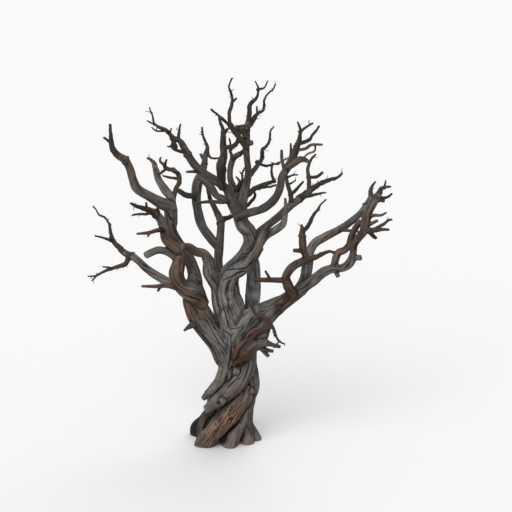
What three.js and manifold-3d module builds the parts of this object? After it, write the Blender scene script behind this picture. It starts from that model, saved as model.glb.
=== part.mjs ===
// A dead tree, six metres tall: a short twisted trunk on spread roots, bare crooked boughs
// and thin twigs. Millimetres, +Z up. The origin lies in the flat cut under the trunk at
// ground level, and the side that is looked at most faces -Y.
import * as THREE from "three";
import { mergeVertices } from "three/addons/utils/BufferGeometryUtils.js";
import Module from "manifold-3d";

const wasm = await Module();
wasm.setup();

// Driving dimensions
const SEAT_GAP = 0.4; // clear space between two limbs that meet
const GROUND_BLOCK = 3000; // block that cuts the roots off level with the ground
const LIMB_SIDES = 8; // sides of a limb's section
const TWIG_SIDES = 3; // sides of a twig's section
const STOUT_TWIG_SIDES = 5; // sides of a stout twig's section, and of a spur's
const STOUT_TWIG = 30; // radius from which a twig is stout
const LIMB_RINGS = 1; // rings for each span of a limb's route
const TRUNK_RINGS = 2; // rings for each span of a strand of the trunk
const TWIG_SWELL = 1.25; // how much stouter a twig is than its two named radii
const TWIG_SEED = 101; // seed of the first mass's side shoots; each later mass adds one
const RULE_RINGS = 4; // rings for each span, where side shoots are set out and kept clear
const TWIG_ROOT = 25; // length of a twig's foot inside what carries it
const SHOOT_PITCH = 480; // distance along a twig from one side shoot to the next
const SHOOT_LENGTH = [90, 190]; // shortest and longest side shoot
const SHOOT_THIN = 9; // radius of a side shoot's tip
const SHOOT_TAKE = 0.6; // share of the twig's radius that a side shoot starts with
const SHOOT_SPREAD = 1.6; // how strongly a side shoot turns to the front or the back
const SHOOT_LEAN = [0.4, 0.8]; // how strongly it follows the twig on
const SHOOT_BEND = 0.55; // place of its bend, as a share of its length
const SHOOT_CLEAR = 25; // least distance from a side shoot to a limb's bark
const SPACE_MARGIN = 170; // how far a mass's own space reaches past its main twigs

const WEATHERED = { color: 0x6f6860, roughness: 0.9, metalness: 0 };
const WARM_BARK = { color: 0x6d5747, roughness: 0.9, metalness: 0 };
const DARK_TWIG = { color: 0x4f463e, roughness: 0.9, metalness: 0 };

// Routes. Each point is x, y, z and the limb's radius there.

// The trunk is a core with ropes of grain that wind down round it into the spread roots.
const TRUNK_STRANDS = {
  core: [
    [0, 100, -60, 330], [40, 80, 370, 290], [90, 40, 720, 268], [170, 0, 1070, 255],
    [205, 0, 1350, 262], [185, 0, 1620, 275], [170, 0, 1880, 262],
  ],
  left_rope: [
    [50, -100, 1640, 165], [45, -150, 1400, 155], [25, -180, 1190, 133], [-100, -200, 1010, 122],
    [-275, -200, 880, 90],
  ],
  front_rope: [
    [400, -50, 1600, 118], [370, -160, 1370, 131], [260, -260, 1180, 139], [60, -320, 990, 131],
    [-130, -340, 830, 114], [-300, -320, 680, 74],
  ],
  front_knob: [[195, -120, 1355, 56], [190, -300, 1345, 62], [190, -380, 1330, 52]],
  right_stub: [[405, -60, 970, 58], [425, -180, 960, 50], [440, -240, 945, 39]],
  right_rope: [[370, 60, 1420, 120], [420, 20, 1170, 133], [435, -40, 980, 130], [380, -90, 800, 112]],
  long_root: [
    [390, -100, 950, 124], [260, -190, 755, 158], [60, -250, 525, 171], [-150, -250, 305, 165],
    [-310, -200, 100, 156], [-380, -165, 0, 148], [-395, -160, -90, 148],
  ],
  front_root: [
    [325, -150, 635, 116], [240, -190, 405, 113], [155, -200, 200, 120], [75, -225, 0, 124],
    [70, -225, -90, 126],
  ],
  right_front_root: [
    [355, -80, 680, 103], [315, -60, 390, 87], [355, -50, 170, 100], [365, -85, 0, 112],
    [370, -85, -90, 114],
  ],
  right_root: [
    [340, 0, 665, 97], [325, 20, 430, 84], [395, 50, 220, 88], [505, 60, 0, 94], [515, 60, -90, 96],
  ],
  left_dark_root: [
    [-50, -20, 1010, 60], [-190, -60, 810, 100], [-235, -40, 595, 103], [-300, 0, 400, 111],
    [-370, 50, 170, 135], [-370, 85, 0, 145], [-375, 90, -90, 145],
  ],
  left_back_root: [
    [-30, 60, 900, 60], [-165, 120, 710, 109], [-240, 180, 475, 108], [-355, 250, 260, 119],
    [-470, 280, 110, 150], [-475, 300, 0, 145], [-480, 305, -90, 145],
  ],
  back_rope: [
    [60, 60, 1700, 60], [-10, 130, 1520, 100], [30, 230, 1190, 122], [200, 270, 850, 125],
    [380, 180, 520, 105],
  ],
  back_left_rope: [
    [70, 90, 1600, 110], [40, 160, 1270, 112], [10, 270, 950, 112], [110, 350, 620, 120],
    [300, 340, 260, 110],
  ],
  back_root: [[60, 100, 960, 80], [30, 230, 740, 140], [0, 400, 320, 160], [0, 540, -90, 160]],
  right_back_root: [
    [190, 60, 1010, 80], [230, 150, 810, 140], [290, 290, 350, 140], [380, 420, -90, 146],
  ],
};

// A limb with several names is cut where "cuts" says, by point number, at its bends. Its spurs
// are short side pieces, each fused to the stretch whose number is "on".
const LIMBS = [
  {
    names: ["left_bough_lower", "left_bough_middle", "left_bough_upper"],
    cuts: [5, 10],
    look: WEATHERED,
    route: [
      [40, -50, 1690, 197], [-200, -80, 1910, 181], [-360, -120, 2140, 188], [-475, -120, 2370, 187],
      [-500, -90, 2580, 165], [-495, -20, 2730, 130], [-510, 60, 2895, 108], [-585, 120, 3100, 95],
      [-700, 120, 3260, 98], [-805, 80, 3415, 104], [-865, 20, 3600, 98], [-855, 0, 3805, 114],
      [-875, -40, 3970, 105], [-1015, -120, 4070, 92], [-1190, -250, 4200, 74], [-1345, -400, 4335, 70],
      [-1395, -500, 4505, 66], [-1415, -600, 4650, 61], [-1515, -700, 4785, 54],
    ],
    spurs: [{ on: 0, route: [[-400, -160, 2110, 68], [-510, -240, 2100, 61], [-610, -300, 2050, 52]] }],
  },
  {
    names: ["centre_bough_lower", "centre_bough_upper"],
    cuts: [5],
    look: WEATHERED,
    route: [
      [170, -80, 1770, 225], [130, -100, 2120, 212], [115, -110, 2385, 210], [70, -50, 2640, 162],
      [85, -30, 2870, 161], [225, -30, 3035, 152], [360, -20, 3200, 139], [420, 0, 3390, 126],
      [390, 0, 3570, 122], [295, -20, 3695, 119], [245, -20, 3850, 108],
    ],
  },
  {
    names: ["right_bough_lower", "right_bough_middle", "right_bough_upper"],
    cuts: [5, 9],
    look: WEATHERED,
    route: [
      [260, -50, 2000, 164], [505, -100, 2180, 166], [730, -160, 2315, 159], [930, -220, 2450, 129],
      [1120, -300, 2610, 112], [1270, -380, 2755, 95], [1430, -460, 2900, 85], [1565, -540, 3035, 78],
      [1705, -620, 3110, 69], [1855, -700, 3140, 59], [1955, -760, 3235, 72], [1990, -820, 3380, 58],
      [2000, -880, 3535, 56], [2060, -940, 3655, 56], [2130, -970, 3760, 66], [2150, -970, 3890, 75],
      [2180, -940, 4015, 69], [2235, -900, 4115, 66], [2320, -840, 4235, 50],
    ],
    spurs: [
      {
        on: 0,
        route: [
          [340, -160, 1710, 75], [475, -200, 1890, 81], [620, -220, 2045, 84], [725, -220, 2200, 97],
          [830, -220, 2350, 97],
        ],
      },
      { on: 1, route: [[1720, -620, 3120, 47], [1750, -660, 3060, 40], [1780, -700, 3000, 34]] },
      { on: 2, route: [[1980, -790, 3310, 46], [2050, -840, 3330, 49], [2095, -880, 3340, 48]] },
      { on: 2, route: [[2150, -970, 3845, 45], [2230, -1020, 3890, 29], [2320, -1080, 3945, 21]] },
      {
        on: 2,
        route: [
          [2195, -950, 3965, 35], [2260, -1000, 4010, 29], [2380, -1080, 4030, 22],
          [2445, -1120, 4075, 12],
        ],
      },
    ],
  },
  {
    names: ["left_curl_lower", "left_curl_upper"],
    cuts: [5],
    look: WARM_BARK,
    route: [
      [-365, -150, 2620, 118], [-535, -300, 2700, 113], [-680, -380, 2795, 111], [-755, -380, 2940, 116],
      [-725, -320, 3095, 115], [-690, -240, 3225, 86], [-770, -220, 3350, 80], [-910, -200, 3495, 96],
      [-955, -240, 3680, 73], [-1000, -320, 3840, 68], [-1075, -420, 3945, 58],
    ],
    spurs: [
      {
        on: 0,
        route: [
          [-730, -380, 2750, 51], [-920, -420, 2790, 39], [-1060, -460, 2785, 36],
          [-1290, -540, 2805, 19],
        ],
      },
      { on: 0, route: [[-1000, -440, 2780, 21], [-1050, -420, 2700, 24]] },
      {
        on: 1,
        route: [
          [-950, -260, 3650, 35], [-1050, -360, 3665, 36], [-1150, -460, 3650, 31],
          [-1340, -600, 3655, 17],
        ],
      },
      { on: 1, route: [[-1150, -460, 3650, 25], [-1190, -440, 3580, 13]] },
    ],
  },
  {
    names: ["left_horn"],
    cuts: [],
    look: WARM_BARK,
    route: [
      [-720, -300, 3175, 73], [-835, -220, 3255, 64], [-945, -220, 3305, 59], [-1050, -280, 3330, 56],
      [-1230, -400, 3275, 58],
    ],
  },
  {
    names: ["left_low_bough"],
    cuts: [],
    look: WEATHERED,
    route: [
      [-550, -40, 2670, 101], [-765, 20, 2680, 91], [-935, 120, 2715, 82], [-1115, 280, 2770, 69],
      [-1305, 450, 2850, 65], [-1455, 600, 2945, 61], [-1610, 750, 3010, 57],
    ],
  },
  {
    names: ["left_fork_bough"],
    cuts: [],
    look: WEATHERED,
    route: [
      [-850, -30, 3950, 84], [-860, 50, 4120, 74], [-970, 180, 4240, 69], [-1080, 340, 4380, 55],
      [-1130, 460, 4510, 46],
    ],
  },
  {
    names: ["centre_left_stem", "centre_left_arm"],
    cuts: [5],
    look: WEATHERED,
    route: [
      [-5, -40, 2090, 119], [-95, -50, 2400, 114], [-125, -60, 2695, 110], [-225, -120, 2920, 113],
      [-250, -190, 3120, 98], [-320, -300, 3275, 71], [-440, -360, 3325, 68], [-550, -400, 3410, 62],
      [-660, -420, 3410, 50],
    ],
  },
  {
    names: ["centre_back_stem", "centre_back_bough"],
    cuts: [5],
    look: WEATHERED,
    route: [
      [320, 60, 1920, 128], [420, 150, 2150, 122], [450, 260, 2400, 120], [460, 340, 2640, 118],
      [470, 360, 2900, 110], [455, 340, 3120, 90], [545, 300, 3300, 79], [685, 220, 3480, 66],
      [830, 120, 3590, 62], [940, 60, 3690, 58], [980, 0, 3850, 38], [980, -40, 4000, 31],
      [970, -80, 4130, 19],
    ],
  },
  {
    names: ["back_left_stem"],
    cuts: [],
    look: WEATHERED,
    route: [
      [20, 120, 2580, 88], [-60, 270, 2750, 80], [-115, 350, 2950, 76], [-110, 400, 3190, 73],
      [-85, 460, 3450, 66], [-80, 500, 3650, 56],
    ],
  },
  {
    names: ["loop_bough"],
    cuts: [],
    look: WEATHERED,
    route: [
      [-110, 400, 3230, 74], [-255, 500, 3380, 75], [-400, 620, 3570, 78], [-470, 740, 3790, 76],
      [-500, 840, 4030, 76], [-480, 900, 4220, 88], [-410, 950, 4390, 78], [-360, 1000, 4570, 56],
    ],
    spurs: [
      { on: 0, route: [[-500, 840, 4030, 50], [-655, 600, 4080, 49], [-745, 400, 4175, 45]] },
    ],
  },
  {
    names: ["crown_left_bough"],
    cuts: [],
    look: WEATHERED,
    route: [
      [265, -20, 3770, 99], [125, -60, 4070, 89], [40, -120, 4290, 66], [-125, -200, 4430, 69],
      [-305, -300, 4555, 64], [-445, -400, 4700, 62], [-570, -500, 4865, 60],
    ],
    spurs: [
      {
        on: 0,
        route: [
          [110, -100, 4100, 35], [-30, -180, 4085, 33], [-220, -260, 4105, 30],
          [-450, -340, 4090, 17],
        ],
      },
      { on: 0, route: [[-360, -360, 4590, 28], [-480, -420, 4600, 25], [-570, -460, 4600, 17]] },
    ],
  },
  {
    names: ["crown_top_bough"],
    cuts: [],
    look: WEATHERED,
    route: [
      [270, 0, 3780, 90], [295, 50, 4100, 83], [340, 100, 4300, 69], [380, 140, 4490, 56],
      [360, 160, 4715, 53], [350, 160, 4905, 54], [360, 160, 5065, 49], [360, 160, 5205, 43],
    ],
    spurs: [
      { on: 0, route: [[370, 160, 4985, 48], [440, 120, 4990, 41]] },
      { on: 0, route: [[370, 140, 5080, 35], [275, 80, 5230, 27]] },
    ],
  },
  {
    names: ["crown_arch"],
    cuts: [],
    look: WEATHERED,
    route: [
      [140, 0, 4030, 56], [-10, 130, 4090, 58], [-140, 260, 4130, 58], [-240, 360, 4250, 62],
      [-350, 450, 4350, 56], [-450, 500, 4390, 39],
    ],
  },
  {
    names: ["crown_back_bough"],
    cuts: [],
    look: WEATHERED,
    route: [
      [280, 50, 3985, 58], [190, 200, 4175, 58], [90, 320, 4370, 52], [90, 420, 4550, 47],
      [145, 460, 4705, 44],
    ],
  },
  {
    names: ["crown_front_bough"],
    cuts: [],
    look: DARK_TWIG,
    route: [
      [-30, -150, 4305, 54], [-35, -300, 4435, 70], [-35, -420, 4545, 74], [-35, -520, 4700, 77],
      [15, -580, 4860, 61], [5, -620, 5015, 51], [5, -680, 5170, 36],
    ],
  },
  {
    names: ["right_arch_lower", "right_arch_upper"],
    cuts: [6],
    look: WEATHERED,
    route: [
      [185, -120, 3820, 67], [265, -160, 3860, 68], [380, -220, 3915, 68], [545, -340, 3980, 66],
      [705, -480, 4095, 65], [830, -600, 4255, 63], [880, -700, 4420, 58], [895, -780, 4560, 59],
      [960, -840, 4685, 62], [1030, -900, 4820, 60], [1085, -960, 4950, 52], [1110, -1020, 5045, 37],
    ],
    spurs: [
      {
        on: 1,
        route: [
          [965, -850, 4715, 50], [1055, -960, 4785, 54], [1150, -1040, 4855, 52],
          [1225, -1100, 4860, 38], [1285, -1160, 4830, 24],
        ],
      },
      { on: 1, route: [[920, -800, 4700, 26], [895, -760, 4830, 27], [890, -740, 4965, 20]] },
      { on: 1, route: [[1030, -900, 4830, 36], [1025, -940, 4955, 21], [1020, -960, 5085, 16]] },
      {
        on: 1,
        route: [
          [1100, -990, 4990, 30], [1170, -1060, 5005, 22], [1240, -1120, 5030, 25],
          [1310, -1180, 5085, 23], [1465, -1280, 5100, 16],
        ],
      },
      {
        on: 1,
        route: [
          [1370, -1220, 5090, 15], [1360, -1200, 5000, 15], [1275, -1160, 4960, 15],
          [1210, -1120, 4900, 13],
        ],
      },
    ],
  },
  {
    names: ["centre_right_bough"],
    cuts: [],
    look: WEATHERED,
    route: [
      [425, 10, 3355, 81], [545, 100, 3520, 68], [690, 220, 3635, 64], [865, 380, 3745, 62],
      [1050, 560, 3885, 67], [1240, 740, 3995, 50],
    ],
  },
  {
    names: ["right_upper_lower", "right_upper_outer"],
    cuts: [3],
    look: WEATHERED,
    route: [
      [1205, -340, 2675, 86], [1295, -300, 2905, 94], [1330, -240, 3095, 88], [1360, -180, 3265, 73],
      [1445, -80, 3400, 72], [1620, 80, 3475, 66], [1835, 240, 3555, 62], [2030, 400, 3640, 59],
      [2195, 520, 3750, 56], [2350, 620, 3910, 50],
    ],
    spurs: [{ on: 1, route: [[1830, 240, 3560, 29], [2030, 120, 3570, 25], [2180, 20, 3570, 18]] }],
  },
  {
    names: ["right_second_bough"],
    cuts: [],
    look: WARM_BARK,
    route: [
      [1720, -620, 3115, 53], [1740, -620, 3245, 56], [1780, -620, 3355, 56], [1870, -640, 3405, 53],
      [1950, -660, 3490, 53], [1975, -700, 3625, 52], [2020, -780, 3765, 50], [2080, -880, 3890, 49],
    ],
  },
  {
    names: ["right_front_lower", "right_front_upper"],
    cuts: [6],
    look: WARM_BARK,
    route: [
      [1020, -280, 2540, 84], [1080, -420, 2650, 79], [1015, -520, 2800, 79], [970, -580, 2950, 67],
      [1020, -640, 3080, 68], [1120, -700, 3190, 64], [1220, -740, 3245, 57], [1270, -760, 3325, 48],
      [1235, -780, 3420, 55], [1220, -800, 3530, 64], [1215, -820, 3680, 58],
    ],
    spurs: [
      {
        on: 0,
        route: [
          [970, -580, 2910, 44], [800, -640, 2930, 43], [630, -680, 2940, 40],
          [460, -720, 2960, 27],
        ],
      },
      { on: 0, route: [[730, -660, 2940, 24], [650, -620, 3070, 18]] },
      { on: 0, route: [[1180, -730, 3240, 48], [1290, -760, 3245, 43], [1370, -800, 3240, 35]] },
      { on: 1, route: [[1225, -790, 3425, 40], [1085, -860, 3445, 28]] },
    ],
  },
  {
    names: ["front_bough"],
    cuts: [],
    look: WARM_BARK,
    route: [
      [210, -240, 1495, 114], [310, -340, 1635, 120], [410, -460, 1775, 99], [505, -560, 1855, 79],
      [600, -660, 1910, 57],
    ],
    spurs: [
      {
        on: 0,
        route: [
          [490, -500, 1795, 73], [600, -560, 1930, 76], [655, -520, 2065, 70], [695, -400, 2180, 64],
        ],
      },
      {
        on: 0,
        route: [
          [535, -600, 1860, 57], [615, -660, 1825, 46], [695, -700, 1805, 30], [770, -740, 1805, 27],
        ],
      },
      { on: 0, route: [[590, -640, 1825, 44], [645, -680, 1760, 35], [700, -720, 1715, 28]] },
    ],
  },
];

// A mass is the bare twigs past a bough's tip. Its first twig is the stem that meets the bough,
// and the others branch from it. Each has a radius where it starts and where it ends.
const MASSES = {
  left_tip_twigs: [
    {
      thick: 45,
      thin: 13,
      route: [
        [-1480, -700, 4810], [-1570, -760, 4880], [-1630, -820, 4970], [-1650, -880, 5080],
        [-1650, -940, 5220], [-1650, -1000, 5370],
      ],
    },
    { thick: 19, thin: 10, route: [[-1650, -880, 5080], [-1710, -900, 5130], [-1760, -920, 5170]] },
  ],
  left_curl_twigs: [
    {
      thick: 47,
      thin: 12,
      route: [
        [-1070, -420, 3950], [-1160, -550, 4020], [-1260, -680, 4080], [-1330, -800, 4130],
        [-1390, -900, 4180],
      ],
    },
    { thick: 22, thin: 12, route: [[-1160, -550, 4020], [-1180, -600, 4090], [-1180, -640, 4150]] },
    {
      thick: 25,
      thin: 12,
      route: [
        [-1110, -480, 3980], [-1210, -420, 3930], [-1320, -400, 3930], [-1430, -400, 3910],
      ],
    },
    { thick: 25, thin: 17, route: [[-1080, -440, 3960], [-1020, -500, 4030], [-1010, -500, 4080]] },
  ],
  left_low_twigs: [
    {
      thick: 51,
      thin: 17,
      route: [
        [-1610, 750, 3020], [-1720, 820, 3050], [-1830, 880, 3140], [-1920, 940, 3220],
        [-1970, 1000, 3310], [-2000, 1060, 3420], [-2010, 1100, 3520],
      ],
    },
    {
      thick: 17,
      thin: 10,
      route: [
        [-2010, 1090, 3500], [-2100, 1160, 3610], [-2210, 1220, 3650], [-2250, 1260, 3710],
        [-2320, 1300, 3780],
      ],
    },
    { thick: 24, thin: 12, route: [[-1920, 940, 3220], [-2060, 860, 3300], [-2220, 780, 3360]] },
    {
      thick: 41,
      thin: 10,
      route: [
        [-1650, 770, 3030], [-1710, 800, 2880], [-1850, 860, 2810], [-2000, 920, 2750],
        [-2130, 980, 2690], [-2260, 1020, 2610], [-2410, 1060, 2590],
      ],
    },
    { thick: 14, thin: 10, route: [[-2240, 1015, 2625], [-2290, 1000, 2570], [-2330, 980, 2530]] },
    { thick: 15, thin: 10, route: [[-1960, 900, 2770], [-2030, 800, 2810], [-2090, 700, 2840]] },
  ],
  left_fork_twigs: [
    {
      thick: 39,
      thin: 13,
      route: [
        [-1130, 460, 4510], [-1170, 560, 4610], [-1220, 620, 4660], [-1290, 680, 4690],
      ],
    },
  ],
  left_loop_twigs: [
    {
      thick: 38,
      thin: 29,
      route: [
        [-830, 40, 4090], [-785, 100, 4240], [-730, 200, 4360], [-750, 300, 4460],
        [-860, 400, 4530],
      ],
    },
    {
      thick: 29,
      thin: 13,
      route: [
        [-850, 390, 4525], [-970, 500, 4540], [-1010, 560, 4590], [-1070, 600, 4640],
        [-1070, 640, 4700],
      ],
    },
    { thick: 20, thin: 13, route: [[-980, 500, 4540], [-970, 440, 4620], [-950, 400, 4690]] },
    { thick: 23, thin: 14, route: [[-960, 490, 4535], [-1000, 340, 4510], [-1060, 200, 4480]] },
    { thick: 23, thin: 13, route: [[-730, 240, 4400], [-880, 220, 4420], [-990, 160, 4460]] },
  ],
  crown_left_twigs: [
    {
      thick: 46,
      thin: 14,
      route: [
        [-550, -500, 4885], [-605, -540, 5000], [-660, -580, 5090], [-750, -620, 5140],
        [-840, -680, 5250], [-950, -740, 5310], [-1030, -780, 5370],
      ],
    },
    { thick: 14, thin: 9, route: [[-1020, -775, 5362], [-1040, -800, 5490], [-1080, -820, 5610]] },
    { thick: 12, thin: 9, route: [[-1015, -772, 5358], [-1080, -840, 5390], [-1110, -880, 5420]] },
    { thick: 14, thin: 9, route: [[-850, -685, 5255], [-990, -620, 5240], [-1080, -560, 5290]] },
    { thick: 21, thin: 9, route: [[-680, -590, 5100], [-650, -640, 5260], [-630, -680, 5350]] },
    { thick: 18, thin: 9, route: [[-760, -625, 5150], [-790, -660, 5200], [-770, -700, 5290]] },
    {
      thick: 28,
      thin: 14,
      route: [
        [-560, -510, 4905], [-675, -600, 4940], [-770, -660, 5010], [-740, -640, 5110],
      ],
    },
    { thick: 15, thin: 9, route: [[-760, -655, 5005], [-830, -720, 5020]] },
  ],
  loop_twigs: [
    {
      thick: 40,
      thin: 12,
      route: [
        [-360, 1000, 4570], [-350, 1040, 4700], [-315, 1060, 4800], [-340, 1100, 4890],
        [-390, 1140, 5010], [-410, 1180, 5160],
      ],
    },
    { thick: 25, thin: 14, route: [[-355, 1015, 4610], [-400, 1060, 4650], [-430, 1100, 4710]] },
    { thick: 24, thin: 13, route: [[-315, 1055, 4780], [-265, 980, 4665], [-110, 900, 4655]] },
  ],
  crown_front_twigs: [
    {
      thick: 32,
      thin: 16,
      route: [
        [10, -680, 5170], [10, -700, 5250], [-20, -720, 5350], [-50, -740, 5450],
      ],
    },
    { thick: 21, thin: 12, route: [[8, -690, 5230], [40, -740, 5260], [90, -780, 5290]] },
  ],
  crown_front_side_twigs: [
    {
      thick: 36,
      thin: 28,
      route: [
        [10, -620, 4990], [100, -680, 5000], [170, -720, 5030], [230, -760, 5100], [240, -780, 5220],
        [230, -800, 5320],
      ],
    },
    { thick: 24, thin: 19, route: [[230, -800, 5320], [330, -860, 5340], [420, -920, 5340]] },
  ],
  top_left_twigs: [
    { thick: 51, thin: 36, route: [[340, 130, 4930], [200, 0, 5140], [90, -100, 5300]] },
    { thick: 31, thin: 12, route: [[100, -90, 5285], [-50, -200, 5420], [-190, -300, 5550]] },
    {
      thick: 34,
      thin: 11,
      route: [
        [100, -90, 5280], [90, -120, 5480], [140, -140, 5650], [120, -160, 5790], [90, -180, 5890],
        [140, -200, 6020],
      ],
    },
    { thick: 22, thin: 15, route: [[135, -140, 5635], [200, -200, 5710]] },
  ],
  crown_back_twigs: [
    { thick: 41, thin: 31, route: [[140, 460, 4710], [240, 420, 4780], [310, 380, 4830]] },
    { thick: 29, thin: 18, route: [[140, 460, 4710], [70, 540, 4830]] },
  ],
  top_twigs: [
    {
      thick: 40,
      thin: 9,
      route: [
        [360, 160, 5210], [380, 160, 5320], [400, 150, 5440], [410, 140, 5600], [500, 120, 5680],
        [540, 100, 5780], [540, 80, 5860], [490, 60, 5960],
      ],
    },
    {
      thick: 16,
      thin: 9,
      route: [
        [540, 88, 5830], [620, 140, 5850], [650, 180, 5870], [690, 220, 5960],
      ],
    },
    {
      thick: 27,
      thin: 16,
      route: [[378, 162, 5290], [460, 240, 5370], [530, 300, 5440], [620, 360, 5490], [640, 400, 5590]],
    },
    {
      thick: 16,
      thin: 10,
      route: [[638, 395, 5575], [640, 440, 5660], [710, 480, 5760], [780, 520, 5810], [820, 550, 5900]],
    },
    { thick: 16, thin: 10, route: [[525, 297, 5435], [520, 280, 5500], [520, 260, 5560]] },
    { thick: 29, thin: 22, route: [[390, 180, 5240], [470, 260, 5330], [510, 320, 5400]] },
  ],
  crown_right_twigs: [
    {
      thick: 42,
      thin: 23,
      route: [
        [320, 60, 4130], [490, 250, 4240], [650, 450, 4280], [820, 650, 4310],
      ],
    },
    { thick: 22, thin: 10, route: [[805, 635, 4307], [760, 700, 4470], [790, 760, 4600]] },
    {
      thick: 24,
      thin: 13,
      route: [
        [490, 255, 4240], [640, 360, 4245], [730, 440, 4240], [840, 500, 4265],
      ],
    },
  ],
  mid_right_twigs: [
    {
      thick: 37,
      thin: 10,
      route: [
        [390, 150, 4450], [515, 300, 4590], [600, 420, 4700], [610, 500, 4840], [670, 580, 4890],
        [730, 640, 4980], [740, 700, 5110], [800, 750, 5200],
      ],
    },
    {
      thick: 21,
      thin: 10,
      route: [[530, 340, 4655], [650, 500, 4580], [770, 620, 4580], [900, 740, 4610], [1040, 860, 4670]],
    },
  ],
  arch_twigs: [
    {
      thick: 35,
      thin: 10,
      route: [[1110, -1020, 5050], [1140, -1100, 5150], [1150, -1200, 5290], [1110, -1280, 5430]],
    },
    { thick: 19, thin: 12, route: [[1150, -1200, 5280], [1230, -1240, 5350], [1330, -1280, 5410]] },
    {
      thick: 27,
      thin: 12,
      route: [
        [1130, -1060, 5100], [1210, -1120, 5120], [1280, -1180, 5160], [1330, -1240, 5240],
        [1420, -1320, 5370],
      ],
    },
  ],
  centre_right_twigs: [
    {
      thick: 49,
      thin: 15,
      route: [
        [1240, 740, 4000], [1415, 860, 4120], [1585, 960, 4215], [1760, 1060, 4275], [1890, 1120, 4300],
        [1980, 1180, 4370],
      ],
    },
    {
      thick: 34,
      thin: 14,
      route: [
        [1395, 860, 4110], [1400, 940, 4290], [1380, 1000, 4410], [1400, 1060, 4530],
        [1450, 1100, 4630], [1520, 1140, 4700],
      ],
    },
    {
      thick: 30,
      thin: 12,
      route: [[1290, 780, 4020], [1420, 660, 4065], [1530, 580, 4105], [1650, 500, 4135]],
    },
    { thick: 27, thin: 17, route: [[1395, 1000, 4325], [1540, 920, 4350], [1620, 860, 4430]] },
  ],
  centre_right_side_twigs: [
    {
      thick: 43,
      thin: 17,
      route: [
        [1090, 600, 3930], [1080, 560, 4090], [1030, 580, 4250], [1000, 600, 4420],
      ],
    },
    { thick: 28, thin: 13, route: [[1080, 562, 4085], [1190, 480, 4220], [1280, 420, 4330]] },
    { thick: 18, thin: 10, route: [[1010, 595, 4360], [1100, 680, 4400], [1200, 740, 4400]] },
    { thick: 18, thin: 10, route: [[1032, 580, 4245], [1160, 660, 4320]] },
  ],
  right_tip_twigs: [
    {
      thick: 48,
      thin: 15,
      route: [[2160, -980, 3790], [2230, -1040, 3790], [2340, -1140, 3820], [2470, -1260, 3840]],
    },
    {
      thick: 25,
      thin: 12,
      route: [
        [2280, -1100, 3810], [2350, -1160, 3880], [2410, -1200, 3920], [2460, -1240, 3980],
        [2510, -1280, 4000],
      ],
    },
    { thick: 33, thin: 21, route: [[2210, -1020, 3770], [2260, -980, 3710], [2320, -940, 3650]] },
  ],
  right_upper_twigs: [
    {
      thick: 48,
      thin: 12,
      route: [
        [2350, 620, 3910], [2415, 680, 4020], [2425, 740, 4140], [2450, 780, 4210], [2510, 820, 4280],
      ],
    },
    { thick: 22, thin: 18, route: [[2415, 670, 4000], [2480, 700, 4040]] },
  ],
  right_rising_twigs: [
    {
      thick: 47,
      thin: 10,
      route: [
        [2320, -840, 4240], [2360, -860, 4320], [2390, -880, 4400], [2450, -920, 4430],
        [2530, -960, 4440],
      ],
    },
    { thick: 17, thin: 10, route: [[2430, -900, 4420], [2450, -920, 4530]] },
    {
      thick: 29,
      thin: 12,
      route: [[2350, -850, 4280], [2420, -800, 4240], [2500, -760, 4250], [2580, -720, 4300]],
    },
    { thick: 24, thin: 17, route: [[2340, -840, 4220], [2450, -800, 4200]] },
  ],
  right_front_twigs: [
    { thick: 40, thin: 14, route: [[1210, -820, 3680], [1210, -830, 3760], [1200, -840, 3840]] },
    {
      thick: 29,
      thin: 9,
      route: [
        [1210, -826, 3720], [1310, -900, 3860], [1370, -960, 4010], [1430, -1000, 4090],
        [1470, -1040, 4180], [1550, -1080, 4270],
      ],
    },
  ],
  right_front_side_twigs: [
    {
      thick: 42,
      thin: 13,
      route: [
        [1270, -760, 3275], [1400, -860, 3335], [1510, -930, 3405], [1600, -980, 3455],
        [1700, -1030, 3450],
      ],
    },
  ],
  front_vine_twigs: [
    {
      thick: 51,
      thin: 44,
      route: [
        [360, -500, 1780], [430, -540, 1910], [500, -580, 2040], [580, -600, 2100], [660, -620, 2120],
        [730, -620, 2170],
      ],
    },
    {
      thick: 44,
      thin: 16,
      route: [
        [730, -620, 2170], [690, -620, 2270], [600, -600, 2320], [500, -580, 2360], [460, -560, 2440],
        [410, -540, 2530], [360, -520, 2610],
      ],
    },
    {
      thick: 35,
      thin: 13,
      route: [
        [740, -620, 2190], [770, -640, 2150], [810, -680, 2050], [880, -720, 1950], [960, -760, 1920],
      ],
    },
    { thick: 19, thin: 16, route: [[780, -650, 2120], [800, -670, 2020]] },
    { thick: 14, thin: 13, route: [[870, -720, 1950], [820, -740, 1910]] },
  ],
  front_finger_twigs: [
    {
      thick: 51,
      thin: 27,
      route: [[600, -660, 1910], [690, -740, 1930], [790, -800, 1920], [880, -860, 1910]],
    },
  ],
  back_left_twigs: [
    {
      thick: 50,
      thin: 17,
      route: [
        [-80, 500, 3650], [-140, 580, 3790], [-230, 660, 3940], [-290, 740, 4110],
        [-310, 800, 4260],
      ],
    },
    {
      thick: 40,
      thin: 12,
      route: [
        [-95, 520, 3685], [45, 600, 3700], [240, 700, 3805], [405, 800, 3920], [490, 860, 4050],
        [450, 900, 4110],
      ],
    },
  ],
};

// Limbs as bent tapering rods

function solidOf(geometry) {
  const bare = geometry.clone();
  bare.deleteAttribute("normal");
  bare.deleteAttribute("uv");
  const merged = mergeVertices(bare, 1e-3);
  const mesh = new wasm.Mesh({
    numProp: 3,
    vertProperties: new Float32Array(merged.attributes.position.array),
    triVerts: new Uint32Array(merged.index.array),
  });
  return new wasm.Manifold(mesh);
}

function geometryOf(solid) {
  const mesh = solid.getMesh();
  const geometry = new THREE.BufferGeometry();
  geometry.setAttribute("position", new THREE.Float32BufferAttribute(mesh.vertProperties, 3));
  geometry.setIndex(Array.from(mesh.triVerts));
  geometry.computeVertexNormals();
  return geometry;
}

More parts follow.
